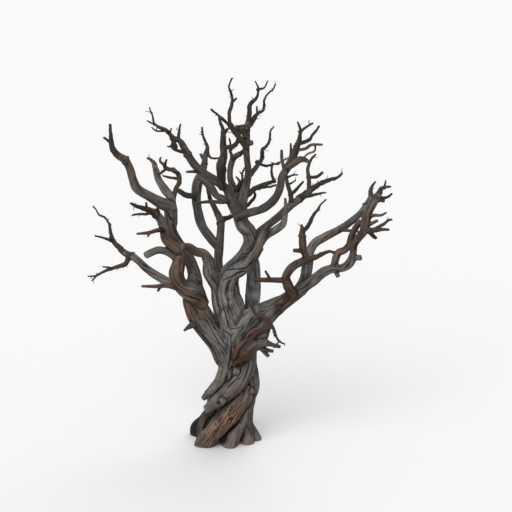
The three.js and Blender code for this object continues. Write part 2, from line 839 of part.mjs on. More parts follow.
// Rings along a route: a centre, a direction, two sideways arrows and a radius for each.
function ringsAlong(route, ringsPerSpan) {
  const points = route.map(([x, y, z]) => new THREE.Vector3(x, y, z));
  const curve = new THREE.CatmullRomCurve3(points, false, "centripetal");
  const spans = points.length - 1;
  const count = spans * ringsPerSpan;
  const rings = [];
  let side = new THREE.Vector3(0, 1, 0);
  for (let i = 0; i <= count; i += 1) {
    const t = i / count;
    const centre = curve.getPoint(t);
    const along = curve.getTangent(t);
    side = side.clone().addScaledVector(along, -side.dot(along)).normalize();
    const across = along.clone().cross(side);
    const place = Math.min(t * spans, spans - 1e-9);
    const span = Math.floor(place);
    const radius = THREE.MathUtils.lerp(route[span][3], route[span + 1][3], place - span);
    rings.push({ centre, along, side, across, radius });
  }
  return rings;
}

// A straight rod of unit radius, bent so that each of its rings lies on a ring of the route.
function rod(rings, sides, grow) {
  const last = rings.length - 1;
  const geometry = new THREE.CylinderGeometry(1, 1, 1, sides, last);
  const spots = geometry.attributes.position;
  for (let i = 0; i < spots.count; i += 1) {
    const number = Math.round((0.5 - spots.getY(i)) * last);
    const ring = rings[number];
    const end = number === 0 ? -grow : number === last ? grow : 0;
    const reach = ring.radius + grow;
    const spot = ring.centre
      .clone()
      .addScaledVector(ring.along, end)
      .addScaledVector(ring.side, spots.getX(i) * reach)
      .addScaledVector(ring.across, spots.getZ(i) * reach);
    spots.setXYZ(i, spot.x, spot.y, spot.z);
  }
  return solidOf(geometry);
}

function joined(solids) {
  return solids.reduce((whole, piece) => whole.add(piece));
}

// The largest body of a cut solid; scraps of bark cut off on a far side are dropped.
function mainBody(solid) {
  const bodies = solid.decompose();
  return bodies.reduce((largest, body) => (body.volume() > largest.volume() ? body : largest));
}

function boxOf(solid) {
  const { min, max } = solid.boundingBox();
  return new THREE.Box3(new THREE.Vector3(...min), new THREE.Vector3(...max));
}

// Solids made so far, each with the slightly larger one that cuts its later neighbours clear.
const made = [];

function keep(name, look, build) {
  const outer = build(SEAT_GAP);
  let solid = build(0);
  const box = boxOf(solid);
  for (const earlier of made) {
    if (box.intersectsBox(earlier.box)) {
      solid = solid.subtract(earlier.outer);
    }
  }
  made.push({ name, look, solid: mainBody(solid), outer, box: boxOf(outer) });
}

// Trunk

function groundBlock() {
  const block = new THREE.BoxGeometry(GROUND_BLOCK, GROUND_BLOCK, GROUND_BLOCK);
  block.translate(0, 0, -GROUND_BLOCK / 2);
  return solidOf(block);
}

function trunk(grow) {
  const strands = Object.values(TRUNK_STRANDS);
  const rods = strands.map((route) => rod(ringsAlong(route, TRUNK_RINGS), LIMB_SIDES, grow));
  return joined(rods).subtract(groundBlock());
}

// Boughs

function stretch(limb, number, grow) {
  const rings = ringsAlong(limb.route, LIMB_RINGS);
  const marks = [0, ...limb.cuts, limb.route.length - 1].map((point) => point * LIMB_RINGS);
  const own = rings.slice(marks[number], marks[number + 1] + 1);
  if (number > 0) {
    const foot = { ...own[0], centre: own[0].centre.clone() };
    foot.centre.addScaledVector(foot.along, SEAT_GAP);
    own[0] = foot;
  }
  const spurs = (limb.spurs ?? []).filter((spur) => spur.on === number);
  const sideRods = spurs.map((spur) => rod(ringsAlong(spur.route, 1), STOUT_TWIG_SIDES, grow));
  return joined([rod(own, LIMB_SIDES, grow), ...sideRods]);
}

// Twigs

// A small repeatable source of numbers from 0 to 1.
function seeded(seed) {
  let state = seed;
  return () => {
    state = (state * 1664525 + 1013904223) % 4294967296;
    return state / 4294967296;
  };
}

// The route of a twig with its radius worked out at each point, its foot set back into what
// carries it.
function tapered({ thick, thin, route }) {
  const last = route.length - 1;
  const points = route.map(([x, y, z], i) => {
    return [x, y, z, TWIG_SWELL * THREE.MathUtils.lerp(thick, thin, i / last)];
  });
  const start = new THREE.Vector3(...route[0]);
  const inward = start.clone().sub(new THREE.Vector3(...route[1])).setLength(TWIG_ROOT);
  start.add(inward);
  points[0] = [start.x, start.y, start.z, TWIG_SWELL * thick];
  return points;
}

// Side shoots leave a twig in turn to the front and to the back, so that the crown has depth.
function shootsOf(twig, random) {
  const rings = ringsAlong(tapered(twig), RULE_RINGS);
  const shoots = [];
  let walked = 0;
  let turn = random() < 0.5 ? -1 : 1;
  for (let i = 1; i < rings.length - 1; i += 1) {
    walked += rings[i].centre.distanceTo(rings[i - 1].centre);
    if (walked < SHOOT_PITCH) {
      continue;
    }
    walked = 0;
    const { centre, along, radius } = rings[i];
    const length = THREE.MathUtils.lerp(SHOOT_LENGTH[0], SHOOT_LENGTH[1], random());
    const lean = THREE.MathUtils.lerp(SHOOT_LEAN[0], SHOOT_LEAN[1], random());
    const way = new THREE.Vector3(0, turn * SHOOT_SPREAD, 0).addScaledVector(along, lean);
    way.normalize();
    const bend = centre.clone().addScaledVector(way, length * SHOOT_BEND);
    way.addScaledVector(along, random() * SHOOT_LEAN[1]).normalize();
    const tip = bend.clone().addScaledVector(way, length * (1 - SHOOT_BEND));
    const route = [centre.toArray(), bend.toArray(), tip.toArray()];
    shoots.push({ thick: Math.max(radius * SHOOT_TAKE, SHOOT_THIN), thin: SHOOT_THIN, route });
    turn = -turn;
  }
  return shoots;
}

const limbRings = [
  ...Object.values(TRUNK_STRANDS).map((route) => ringsAlong(route, RULE_RINGS)),
  ...LIMBS.map((limb) => ringsAlong(limb.route, RULE_RINGS)),
].flat();

function clearOfLimbs(point) {
  const spot = new THREE.Vector3(...point);
  return limbRings.every((ring) => spot.distanceTo(ring.centre) > ring.radius + SHOOT_CLEAR);
}

function shootFits(shoot, space) {
  const outer = shoot.route.slice(1);
  return outer.every((point) => {
    return space.containsPoint(new THREE.Vector3(...point)) && clearOfLimbs(point);
  });
}

function allTwigs(twigs, seed) {
  const random = seeded(seed);
  const corners = twigs.flatMap(({ route }) => route.map((point) => new THREE.Vector3(...point)));
  const space = new THREE.Box3().setFromPoints(corners).expandByScalar(SPACE_MARGIN);
  const shoots = twigs.flatMap((twig) => shootsOf(twig, random));
  return [...twigs, ...shoots.filter((shoot) => shootFits(shoot, space))];
}

function mass(twigs, seed, grow) {
  const rods = allTwigs(twigs, seed).map((twig) => {
    const sides = twig.thick >= STOUT_TWIG ? STOUT_TWIG_SIDES : TWIG_SIDES;
    return rod(ringsAlong(tapered(twig), 1), sides, grow);
  });
  return joined(rods);
}

// The tree

keep("trunk", WEATHERED, trunk);
for (const limb of LIMBS) {
  limb.names.forEach((name, number) => keep(name, limb.look, (grow) => stretch(limb, number, grow)));
}
Object.entries(MASSES).forEach(([name, twigs], number) => {
  keep(name, DARK_TWIG, (grow) => mass(twigs, TWIG_SEED + number, grow));
});

const tree = new THREE.Group();
for (const { name, look, solid } of made) {
  const mesh = new THREE.Mesh(geometryOf(solid), new THREE.MeshStandardMaterial(look));
  mesh.name = name;
  tree.add(mesh);
}

export default tree;
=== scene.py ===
"""The looks of the dead tree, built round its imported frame.

The trunk and boughs are swept along the same routes as the part's solids, fused into closed
organic meshes and given the bark's relief. The twigs grow by the part's own seeded rule and are
carried on to finer ones. Metres, +Z up, the origin in the flat cut under the trunk. The routes
alone are written in millimetres, as in the part's source.
"""

import math

import bpy
import bmesh
import numpy as np
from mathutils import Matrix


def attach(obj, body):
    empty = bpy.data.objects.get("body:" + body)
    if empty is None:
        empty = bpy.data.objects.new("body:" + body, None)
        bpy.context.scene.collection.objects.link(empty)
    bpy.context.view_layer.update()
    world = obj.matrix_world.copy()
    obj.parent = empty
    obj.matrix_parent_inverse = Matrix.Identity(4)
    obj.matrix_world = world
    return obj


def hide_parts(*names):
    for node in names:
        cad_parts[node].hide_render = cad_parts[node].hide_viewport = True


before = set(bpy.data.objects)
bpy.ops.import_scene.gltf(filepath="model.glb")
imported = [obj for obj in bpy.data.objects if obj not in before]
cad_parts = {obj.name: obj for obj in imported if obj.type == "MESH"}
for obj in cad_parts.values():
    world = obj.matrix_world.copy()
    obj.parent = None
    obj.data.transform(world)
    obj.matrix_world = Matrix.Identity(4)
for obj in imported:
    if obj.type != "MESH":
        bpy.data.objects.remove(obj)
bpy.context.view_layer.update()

# The camera of the photograph
LENS = 70.0
SENSOR = 36.0
CAMERA_PLACE = (0.505, -15.748, 6.523)
CAMERA_DOWN = 12.0  # degrees below level
FAR_CLIP = 400.0

# Sizes of the meshes
VOXEL = 0.0075
MOST_TRIANGLES = 190000  # in one piece
RING_STEP = 0.018  # along a limb, from one ring to the next
EVEN_OUT = 9  # rings over which a limb's radius is evened out
TUBE_SIDES = 24
END_DOME = 0.4  # of the radius, at a limb's blunt ends
NEAR = 0.06  # how far off a limb's surface it still counts
FAR = 9.0  # further off than any limb
BATCH = 40000  # places compared with a limb's rings at once
SMOOTH_SHARE = 0.6  # what a smoothed vertex takes from its neighbours
DRAW_MOST = 0.03  # how far one step draws the mesh onto the limbs' surface

# Where limbs join
BOUGH_JOIN = 0.6  # fillet where two boughs join, as a share of the thinner one's radius
FLOW_JOIN = 0.75  # the same for a strand that lies on other wood
ROPE_JOIN = 0.14  # and for the trunk's ropes
FILLET_LEAST = 0.006
FILLET_MOST = 0.07
BLEND = 0.006  # over which one limb's bark passes into the next one's
FLOW_SINK = 0.11  # how deep a strand's ends lie in the wood behind it
FLOW_LEAD = 0.8  # how far such an end is led on, as a share of the strand's last stretch
FLOW_THIN = 0.55  # what it has left of its radius
SLEEVE_REACH = 0.12  # how far off a limb's tip the twig that carries it on may start
SLEEVE_OVER = 0.003

# Unevenness of the limbs' radius, and the seed of each kind's first limb
ROPE_LOBES = 0.09
FLOW_LOBES = 0.1
BOUGH_LOBES = 0.12
TWIG_LOBES = 0.16
ROPE_SEED = 1
FLOW_SEED = 20
BACK_FLOW_SEED = 30
KNOB_SEED = 35
BOUGH_SEED = 40
BOUGH_SEEDS = 5  # kept for each bough and its spurs

# Noises of a limb's unevenness: waves a metre along it, a shift from one seed to the next, and the
# noise's own seed
LOBES = (3.5, 5.7, 11)
LOBE_ROUND = 1.1  # waves round it
SWELLS = (6, 1.3, 12)
SWELL_SHARE = 0.5

# Noises of the bark's relief: waves a metre across and along the grain, a shift, and a seed
RIBS = (1 / 0.1, 1.0, 0, 21)
GRAIN = (1 / 0.03, 3.0, 0, 22)
FINEST = (2.1 / 0.03, 6.0, 0, 23)
CRACKS = (1.15 / 0.1, 0.9, 17.3, 24)
CRACKED = (2.6, 1.6, 5.1, 25)  # where cracks are open at all

# The bark: each form's height as a share of the limb's radius, and its least and most
TWIST = 1.3  # how fast the grain winds round a limb, in radians a metre
RIB_SHARE = 0.045
RIB_MOST = 0.008
GRAIN_SHARE = 0.020
GRAIN_LEAST = 0.0006
GRAIN_MOST = 0.0032
FINEST_SHARE = 0.5  # of the grain's height
CRACK_SHARE = 0.09
CRACK_MOST = 0.014
CRACK_WIDTH = 0.06
CRACKED_GAIN = 2.4
CRACKED_BASE = 0.15
LINE_GAIN = 0.9
LINE_FINEST = 0.6
SEAM_WIDTH = 0.010
BARK_SHIFT = 3.3  # along the relief's noises, from one seed to the next
GRAIN_SHIFT = 3.1  # the same for the colours' noises
CRACK_SHADE = 0.85  # painted shade: how dark a crack is drawn
SEAM_SHADE = 0.6  # and a seam between two limbs, also painted shade
DIP_SHADE = 180  # and the ground of a dip, for each metre below its surroundings, also painted shade
RIDGE_HIGHLIGHT = 160  # painted highlight: how light a ridge is drawn, for each metre above its surroundings

# Hollows: x, y, z, size and depth; each is also painted with shade
DENTS = [
    (0.29, -0.38, 1.46, 0.05, 0.035), (0.20, -0.37, 1.44, 0.04, 0.04),
    (0.36, -0.36, 1.92, 0.07, 0.03), (-0.10, -0.46, 0.835, 0.04, 0.035),
    (-0.05, -0.25, 0.13, 0.06, 0.05), (-0.30, -0.15, 0.47, 0.06, 0.04),
    (0.71, -0.01, 3.62, 0.028, 0.02),
]

# Long grooves: width, depth and the places they run through; they are painted darker with shade the deeper
# they are
GROOVE_FULL_SHADE = 0.018  # a groove as deep as this is painted black with shade
GROOVE_STEPS = 3  # from one place to the next
GROOVE_END = 0.3  # how deep a groove is at its ends, as a share of its depth
GROOVE_FADE = 0.3  # how much it deepens with each step from there
GROOVE_REACH = 3  # widths off a groove where it has no depth any more
GROOVE_VIEW = 0.15  # how much less a distance counts front to back than across
GROOVES = {
    "stem_bend": (0.013, 0.014, [
        (-0.03, -0.20, 2.97), (0.09, -0.26, 3.01), (0.25, -0.29, 3.03), (0.35, -0.26, 3.04),
        (0.47, -0.24, 3.18)]),
    "under_stem_bend": (0.013, 0.012, [
        (-0.03, -0.25, 2.83), (0.09, -0.29, 2.89), (0.25, -0.28, 2.97), (0.35, -0.25, 2.98)]),
    "over_stem_bend": (0.012, 0.011, [
        (0.28, -0.13, 3.24), (0.36, -0.18, 3.26), (0.43, -0.20, 3.31), (0.47, -0.17, 3.39)]),
    "stem_side": (0.013, 0.011, [
        (-0.07, -0.25, 2.57), (-0.04, -0.27, 2.46), (0.04, -0.31, 2.19), (0.05, -0.31, 2.06)]),
    "stem_foot": (0.013, 0.012, [(-0.04, -0.26, 2.02), (0.02, -0.31, 1.99), (0.10, -0.34, 1.94)]),
    "stem_foot_right": (0.010, 0.008, [(0.09, -0.33, 2.05), (0.18, -0.35, 2.06), (0.25, -0.34, 2.08)]),
    "fork": (0.016, 0.016, [(0.31, -0.42, 1.89), (0.38, -0.45, 1.95), (0.43, -0.45, 2.01)]),
    "left_bough": (0.011, 0.009, [
        (-0.33, -0.31, 2.26), (-0.25, -0.31, 2.11), (-0.16, -0.33, 1.94), (-0.08, -0.32, 1.79)]),
    "left_bough_inner": (0.011, 0.009, [
        (-0.25, -0.28, 2.22), (-0.16, -0.28, 2.05), (-0.06, -0.31, 1.89), (0.02, -0.32, 1.76)]),
    "under_curl": (0.016, 0.018, [(-0.59, -0.43, 2.63), (-0.50, -0.39, 2.58), (-0.40, -0.36, 2.54)]),
    "brown_grain": (0.009, 0.007, [(-0.55, -0.34, 2.50), (-0.54, -0.29, 2.35), (-0.51, -0.31, 2.22)]),
    "brown_grain_inner": (0.009, 0.007, [
        (-0.45, -0.34, 2.48), (-0.43, -0.31, 2.32), (-0.38, -0.33, 2.20)]),
    "waist": (0.018, 0.012, [
        (0.12, -0.33, 1.81), (0.10, -0.32, 1.66), (0.08, -0.33, 1.52), (0.05, -0.32, 1.39)]),
    "under_knob": (0.014, 0.014, [
        (0.04, -0.43, 1.08), (0.10, -0.40, 1.14), (0.18, -0.40, 1.21), (0.25, -0.38, 1.25)]),
    "front_rope": (0.009, 0.008, [(0.02, -0.43, 0.88), (0.12, -0.42, 0.93), (0.21, -0.38, 0.96)]),
    "behind_long_root": (0.035, 0.035, [
        (-0.18, -0.16, 0.57), (-0.28, -0.15, 0.42), (-0.36, -0.12, 0.28)]),
    "under_long_root": (0.030, 0.05, [
        (0.22, -0.30, 0.44), (0.09, -0.33, 0.31), (-0.02, -0.36, 0.20), (-0.08, -0.34, 0.09),
        (-0.12, -0.32, -0.03)]),
    "right_of_front_root": (0.016, 0.014, [
        (0.36, -0.24, 0.39), (0.31, -0.24, 0.25), (0.27, -0.18, 0.08)]),
    "long_root": (0.007, 0.006, [
        (-0.07, -0.39, 0.54), (0.05, -0.40, 0.61), (0.18, -0.38, 0.69), (0.31, -0.34, 0.79)]),
    "long_root_check": (0.008, 0.013, [
        (-0.18, -0.35, 0.48), (-0.15, -0.38, 0.43), (-0.11, -0.41, 0.37)]),
    "right_bough": (0.010, 0.008, [(1.14, -0.49, 2.72), (1.25, -0.48, 2.76), (1.35, -0.52, 2.84)]),
    "right_bough_lower": (0.010, 0.007, [
        (1.17, -0.45, 2.64), (1.28, -0.47, 2.71), (1.39, -0.50, 2.78)]),
    "right_fork": (0.009, 0.008, [(0.60, -0.26, 2.38), (0.70, -0.28, 2.41), (0.79, -0.32, 2.46)]),
    "right_fork_lower": (0.010, 0.010, [(0.54, -0.29, 2.32), (0.67, -0.30, 2.34)]),
}

# Places painted another colour: x, y, z, size, how much warmer and how much lighter, the lightness partly
# the wood's own tone and partly painted shade and light
TINTS_AND_SHADES = [
    (-0.50, -0.30, 2.30, 0.22, 0.75, -0.15), (-0.12, -0.40, 0.35, 0.30, 0.4, 0.05),
    (-0.59, -0.32, 2.09, 0.10, -1.5, -0.5), (-0.25, -0.15, 1.80, 0.16, 0.6, 0.0),
    (-0.48, 0.20, 0.15, 0.25, -0.4, -0.45), (0.15, -0.30, 2.40, 0.30, -0.15, 0.42),
    (-0.13, -0.25, 2.55, 0.20, 0.0, 0.25), (0.20, -0.35, 1.95, 0.25, 0.0, 0.08),
    (-0.59, -0.46, 3.43, 0.07, 0.0, -0.7), (-0.48, -0.46, 3.39, 0.09, 0.2, -0.5),
    (-0.38, -0.42, 3.30, 0.08, 0.2, -0.3), (-0.89, -0.16, 4.06, 0.16, 0.0, -0.3),
    (-1.30, 0.43, 2.92, 0.20, 0.0, -0.35), (-0.93, -0.30, 3.57, 0.10, 0.2, -0.45),
    (-0.08, -0.35, 1.10, 0.12, 0.0, -0.15), (2.13, -1.00, 3.98, 0.15, 0.5, -0.45),
    (2.04, -1.00, 3.72, 0.16, 0.6, -0.5), (1.97, -0.84, 3.50, 0.13, 0.5, -0.4),
    (0.08, -0.30, 1.90, 0.28, -0.1, 0.15), (0.20, -0.20, 2.95, 0.25, -0.25, 0.08),
    (-0.10, -0.15, 2.45, 0.15, 0.0, 0.12), (0.62, -0.20, 2.20, 0.20, -0.3, 0.08),
    (0.86, -0.30, 2.38, 0.12, 0.8, -0.5), (1.15, -0.35, 2.60, 0.22, 0.5, -0.12),
    (0.68, -0.66, 1.82, 0.12, -1.2, -0.15), (0.45, -0.50, 1.75, 0.20, 0.0, -0.15),
    (-0.02, -0.42, 0.39, 0.10, 0.7, 0.15), (0.11, -0.41, 0.53, 0.10, 0.7, 0.25),
    (0.24, -0.38, 0.67, 0.10, 0.6, 0.10), (-0.28, -0.38, 0.25, 0.14, 0.2, 0.18),
    (0.44, -0.14, 0.71, 0.07, 0.6, -0.30), (0.44, -0.22, 1.00, 0.06, 0.5, 0.25),
    (-0.27, -0.41, 0.72, 0.07, 0.5, 0.10), (-0.14, -0.42, 0.74, 0.10, 0.5, -0.30),
    (-0.30, -0.32, 0.86, 0.06, 0.4, -0.30), (-0.33, -0.12, 0.46, 0.10, 0.4, -0.40),
    (-0.50, -0.38, 2.75, 0.09, -1.3, 0.15), (-0.56, -0.44, 2.69, 0.05, 0.7, 0.15),
    (-0.77, -0.50, 2.98, 0.20, 0.4, -0.38), (-0.66, -0.36, 3.18, 0.10, 0.4, -0.30),
    (-0.51, -0.29, 2.38, 0.13, 0.6, -0.20), (-0.40, -0.34, 2.50, 0.08, 0.4, -0.50),
    (0.24, -0.40, 1.66, 0.13, 0.5, -0.30), (0.24, -0.42, 1.55, 0.08, 0.4, -0.25),
    (-0.50, -0.40, 3.28, 0.14, 0.5, -0.38), (-0.80, -0.28, 3.45, 0.07, 0.6, -0.25),
    (0.72, -0.31, 2.36, 0.08, -0.5, 0.4), (1.20, -0.45, 2.78, 0.12, -0.8, -0.05),
    (1.60, -0.05, 3.50, 0.22, 0.2, 0.15), (-1.66, -0.85, 5.10, 0.40, 0.5, -0.35),
    (0.45, -0.10, 0.25, 0.13, 0.3, -0.25),
]

# Places with short dark splits across the grain: x, y, z, size and amount
CHECKS = [
    (0.17, -0.30, 2.38, 0.22, 1.0), (0.25, -0.25, 3.05, 0.25, 0.4), (-0.02, -0.40, 0.50, 0.28, 0.9),
    (-0.33, -0.30, 0.12, 0.15, 0.7), (-0.42, -0.25, 2.25, 0.22, 0.35),
]

# How much warmer and how much lighter than the rest a limb or strand is painted, the lightness partly its
# own tone and partly painted shade and light
PLAIN = (0.0, 0.0)
LOOKS = {
    "long_root": (0.3, 0.0), "front_root": (0.15, 0.0), "right_front_root": (0.2, 0.0),
    "left_back_root": (-0.5, -0.45), "left_dark_root": (-0.1, -0.3), "front_rope": (0.05, -0.05),
    "left_edge_flow": (0.75, 0.0), "under_web_flow": (0.1, 0.0), "stem_fold": (0.05, 0.0),
    "brown_upper": (0.9, -0.25), "brown_middle": (0.8, -0.3), "curl_foot": (0.45, 0.0),
    "front_rope_flow": (0.05, 0.0), "right_rope_flow": (0.0, 0.05), "right_rope_foot": (0.1, 0.0),
    "front_root_flow": (0.2, 0.0), "right_front_root_flow": (0.1, -0.1),
    "right_root_flow": (0.0, 0.1), "back_rope_foot": (0.1, 0.0), "back_right_flow": (-0.1, 0.1),
    "back_middle_flow": (0.1, 0.0), "back_centre_flow": (-0.05, 0.05),
    "back_left_flow": (0.05, 0.0), "trunk_knob": (0.1, 0.0),
    "left_curl": (0.45, 0.0), "front_bough": (0.4, -0.3), "right_front": (0.6, -0.45),
    "right_second_bough": (0.35, -0.05), "right_arch": (0.15, 0.0),
    "crown_front_bough": (0.2, -0.3), "left_bough": (0.0, -0.05), "right_bough": (0.0, -0.02),
    "centre_back_stem": (-0.35, 0.65), "back_left_stem": (-0.05, -0.36),
    "centre_left_stem": (0.1, 0.08), "centre_right_bough": (0.0, 0.25),
}

# Colours, as the shader takes them
WOOD_RAMP = [
    (0.12, (0.014, 0.013, 0.012)), (0.46, (0.0395, 0.036, 0.0332)), (0.88, (0.090, 0.083, 0.076)),
]
WARM_TINT = (1.18, 0.74, 0.53)
COOL_TINT = (0.80, 0.97, 1.12)
YOUNG_TINT = (0.79, 0.69, 0.61)
YOUNG_FROM = 0.075  # radius under which wood looks younger
YOUNG_TO = 0.03  # radius from which it looks wholly so
# The colour of the painted shade in cracks, seams and dips, and of the short dark splits
CRACK_AND_SHADE_COLOUR = (0.004, 0.0035, 0.003)
# How fully the painted shade covers the wood's colour
SHADE_COVER = 0.93
CHECK_COVER = 0.85
TWIG_COLOURS = {
    "grey_twig": (0.032, 0.0245, 0.019),
    "dark_twig": (0.0245, 0.018, 0.0138),
    "warm_twig": (0.029, 0.0185, 0.0135),
}
WARM_TWIG = 2  # the warm one's place in that list
DARK_SHARE = 0.55  # of the other twigs
TWIG_RAMP = [(0.2, 0.55), (0.5, 1.0), (0.85, 1.6)]  # shares of a twig's colour

# Noises of the colours: scale, detail, stretch along the grain and roughness
WOOD_FIBRE = (95, 4, 0.05, 0.6)
WOOD_STREAK = (30, 4, 0.07, 0.55)
WOOD_PATCH = (2.6, 5, 1, 0.6)
WOOD_DRIFT = (3.1, 3, 1, 0.5)
WOOD_TICKS = (30, 1, 0.4, 0.4)
TWIG_FIBRE = (130, 3, 0.12, 0.6)
TWIG_STREAK = (45, 4, 0.2, 0.55)

# What the bark's looks are made of: shares of the mesh's values and of the noises, and a base
# The ridge value adds a painted highlight on ridges, and the lines value the grain's dark lines with
# painted shade in their grooves
WOOD_LIGHT = ({"streak": 1.05, "fibre": 0.9, "ridge_highlight": 0.5, "patch": 0.7, "lines": -0.5}, -0.82)
WOOD_WARMTH = ({"tone": 1.0, "drift": 1.2, "streak": 0.5}, -0.85)
WOOD_SPLITS = ({"ticks": 16.0}, -9.6)
WOOD_HEIGHT = ({"streak": 0.7, "fibre": 0.5, "splits": -0.6}, 0.0)
TWIG_LIGHT = ({"streak": 0.8, "fibre": 0.6}, -0.2)
TWIG_HEIGHT = ({"streak": 0.8, "fibre": 0.5}, 0.0)
ROUGHNESS = ({"streak": 0.2}, 0.75)

# How much the bark shines, and how far it stands out in shading alone
SPECULAR = 0.12
BUMP = 0.8
WOOD_BUMP = 0.009
TWIG_BUMP = 0.006

# The floor, and lights: name, tilt and turn in degrees, strength, and how wide the sun looks
FLOOR_REACH = 180.0
FLOOR_COLOUR = (0.465, 0.465, 0.465)
FLOOR_DROP = 0.002
WORLD_STRENGTH = 0.95
SUNS = [("key", 55, -22, 4.0, 60), ("back", 50, 155, 1.8, 60)]

# The twigs' rule, as in the part's source
TWIG_SEED = 101  # of the first mass's side shoots; each later mass adds one
TWIG_ROOT = 0.025  # length of a twig's foot inside what carries it
TWIG_SWELL = 1.25  # how much stouter a twig is than its two radii
RULE_RINGS = 4  # for each span, where side shoots are set out and kept clear
SHOOT_PITCH = 0.48
SHOOT_LENGTH = (0.09, 0.19)
SHOOT_THIN = 0.009
SHOOT_TAKE = 0.6  # share of the twig's radius that a side shoot starts with
SHOOT_SPREAD = 1.6  # how strongly it turns to the front or the back
SHOOT_LEAN = (0.4, 0.8)  # how strongly it follows the twig on
SHOOT_BEND = 0.55  # place of its bend, as a share of its length
SHOOT_CLEAR = 0.025  # least distance from a side shoot to a limb's bark
SPACE_MARGIN = 0.17  # how far a mass's own space reaches past its main twigs

# Finer twigs that only the looks have
FINE_RINGS = 6
FINE_START = 0.08  # from a twig's foot to the first of them
FINE_END = 0.02  # from the last to its tip
FINE_PITCH = 0.12
FINE_GAPS = (0.6, 1.5)  # least and most from one to the next, in pitches
FINE_LENGTH = (0.03, 0.1)
FINE_LEAN = (0.4, 1.0)  # how strongly they follow the twig on
FINE_SPREAD = 1.6  # how much more they turn to the front and back than to the sides
FINE_SINK = 0.5  # how deep their foot lies, as a share of the twig's radius
FINE_TAKE = 0.7  # the most of that radius that they start with
FINE_THICK = 0.0065
FINE_THIN = 0.0028
FINE_STRAY = 0.25  # how far they bend off their way
FINE_RISE = 0.15  # how strongly they bend up

# The twigs' meshes
STOUT = 0.03  # radius from which a twig has more sides
SLIM = 0.015  # radius up to which it has fewer
TWIG_SIDES = {"stout": 9, "middle": 7, "slim": 5}
TWIG_SEED_STEP = 0.37  # from one twig of a mass to the next, where its noise is read
TWIG_STEP = 0.02
SLIM_STEP = 0.014
TWIG_WAVES = 11  # of sway a metre
TWIG_SHIFT = 1.7  # across the noise of sway, from one seed to the next
SWAY_NOISES = (51, 52, 53)  # seeds, for each direction
TWIG_SWAY = 0.006
SWAY_FROM = 0.06  # from a twig's foot to where it sways in full
KNOT_NOISE = 54
KNOT_WAVES = 2.2  # knots for each wave of sway
KNOT_SWELL = 0.16
COLLAR_SWELL = 0.3
COLLAR_LENGTH = 0.03


def in_metres(routes):
    """Routes given in millimetres, in metres. Names in them stay as they are."""
    if isinstance(routes, dict):
        return {name: in_metres(route) for name, route in routes.items()}
    if isinstance(routes, str):
        return routes
    if isinstance(routes, int):
        return routes / 1000
    return [in_metres(item) for item in routes]


# Routes in millimetres. Each point is x, y, z and the limb's radius there, as in the part's source,
# but for the foot of left_curl and the pointed spur of left_bough.
TRUNK_STRANDS = in_metres({
    "core": [(0, 100, -60, 330), (40, 80, 370, 290), (90, 40, 720, 268), (170, 0, 1070, 255),
        (205, 0, 1350, 262), (185, 0, 1620, 275), (170, 0, 1880, 262)],
    "left_rope": [(50, -100, 1640, 165), (45, -150, 1400, 155), (25, -180, 1190, 133),
        (-100, -200, 1010, 122), (-275, -200, 880, 90)],
    "front_rope": [(400, -50, 1600, 118), (370, -160, 1370, 131), (260, -260, 1180, 139),
        (60, -320, 990, 131), (-130, -340, 830, 114), (-300, -320, 680, 74)],
    "front_knob": [(195, -120, 1355, 56), (190, -300, 1345, 62), (190, -380, 1330, 52)],
    "right_stub": [(405, -60, 970, 58), (425, -180, 960, 50), (440, -240, 945, 39)],
    "right_rope": [(370, 60, 1420, 120), (420, 20, 1170, 133), (435, -40, 980, 130), (380, -90, 800, 112)],
    "long_root": [(390, -100, 950, 124), (260, -190, 755, 158), (60, -250, 525, 171),
        (-150, -250, 305, 165), (-310, -200, 100, 156), (-380, -165, 0, 148), (-395, -160, -90, 148)],
    "front_root": [(325, -150, 635, 116), (240, -190, 405, 113), (155, -200, 200, 120), (75, -225, 0, 124),
        (70, -225, -90, 126)],
    "right_front_root": [(355, -80, 680, 103), (315, -60, 390, 87), (355, -50, 170, 100),
        (365, -85, 0, 112), (370, -85, -90, 114)],
    "right_root": [(340, 0, 665, 97), (325, 20, 430, 84), (395, 50, 220, 88), (505, 60, 0, 94),
        (515, 60, -90, 96)],
    "left_dark_root": [(-50, -20, 1010, 60), (-190, -60, 810, 100), (-235, -40, 595, 103),
        (-300, 0, 400, 111), (-370, 50, 170, 135), (-370, 85, 0, 145), (-375, 90, -90, 145)],
    "left_back_root": [(-30, 60, 900, 60), (-165, 120, 710, 109), (-240, 180, 475, 108),
        (-355, 250, 260, 119), (-470, 280, 110, 150), (-475, 300, 0, 145), (-480, 305, -90, 145)],
    "back_rope": [(60, 60, 1700, 60), (-10, 130, 1520, 100), (30, 230, 1190, 122), (200, 270, 850, 125),
        (380, 180, 520, 105)],
    "back_left_rope": [(70, 90, 1600, 110), (40, 160, 1270, 112), (10, 270, 950, 112), (110, 350, 620, 120),
        (300, 340, 260, 110)],
    "back_root": [(60, 100, 960, 80), (30, 230, 740, 140), (0, 400, 320, 160), (0, 540, -90, 160)],
    "right_back_root": [(190, 60, 1010, 80), (230, 150, 810, 140), (290, 290, 350, 140),
        (380, 420, -90, 146)],
})

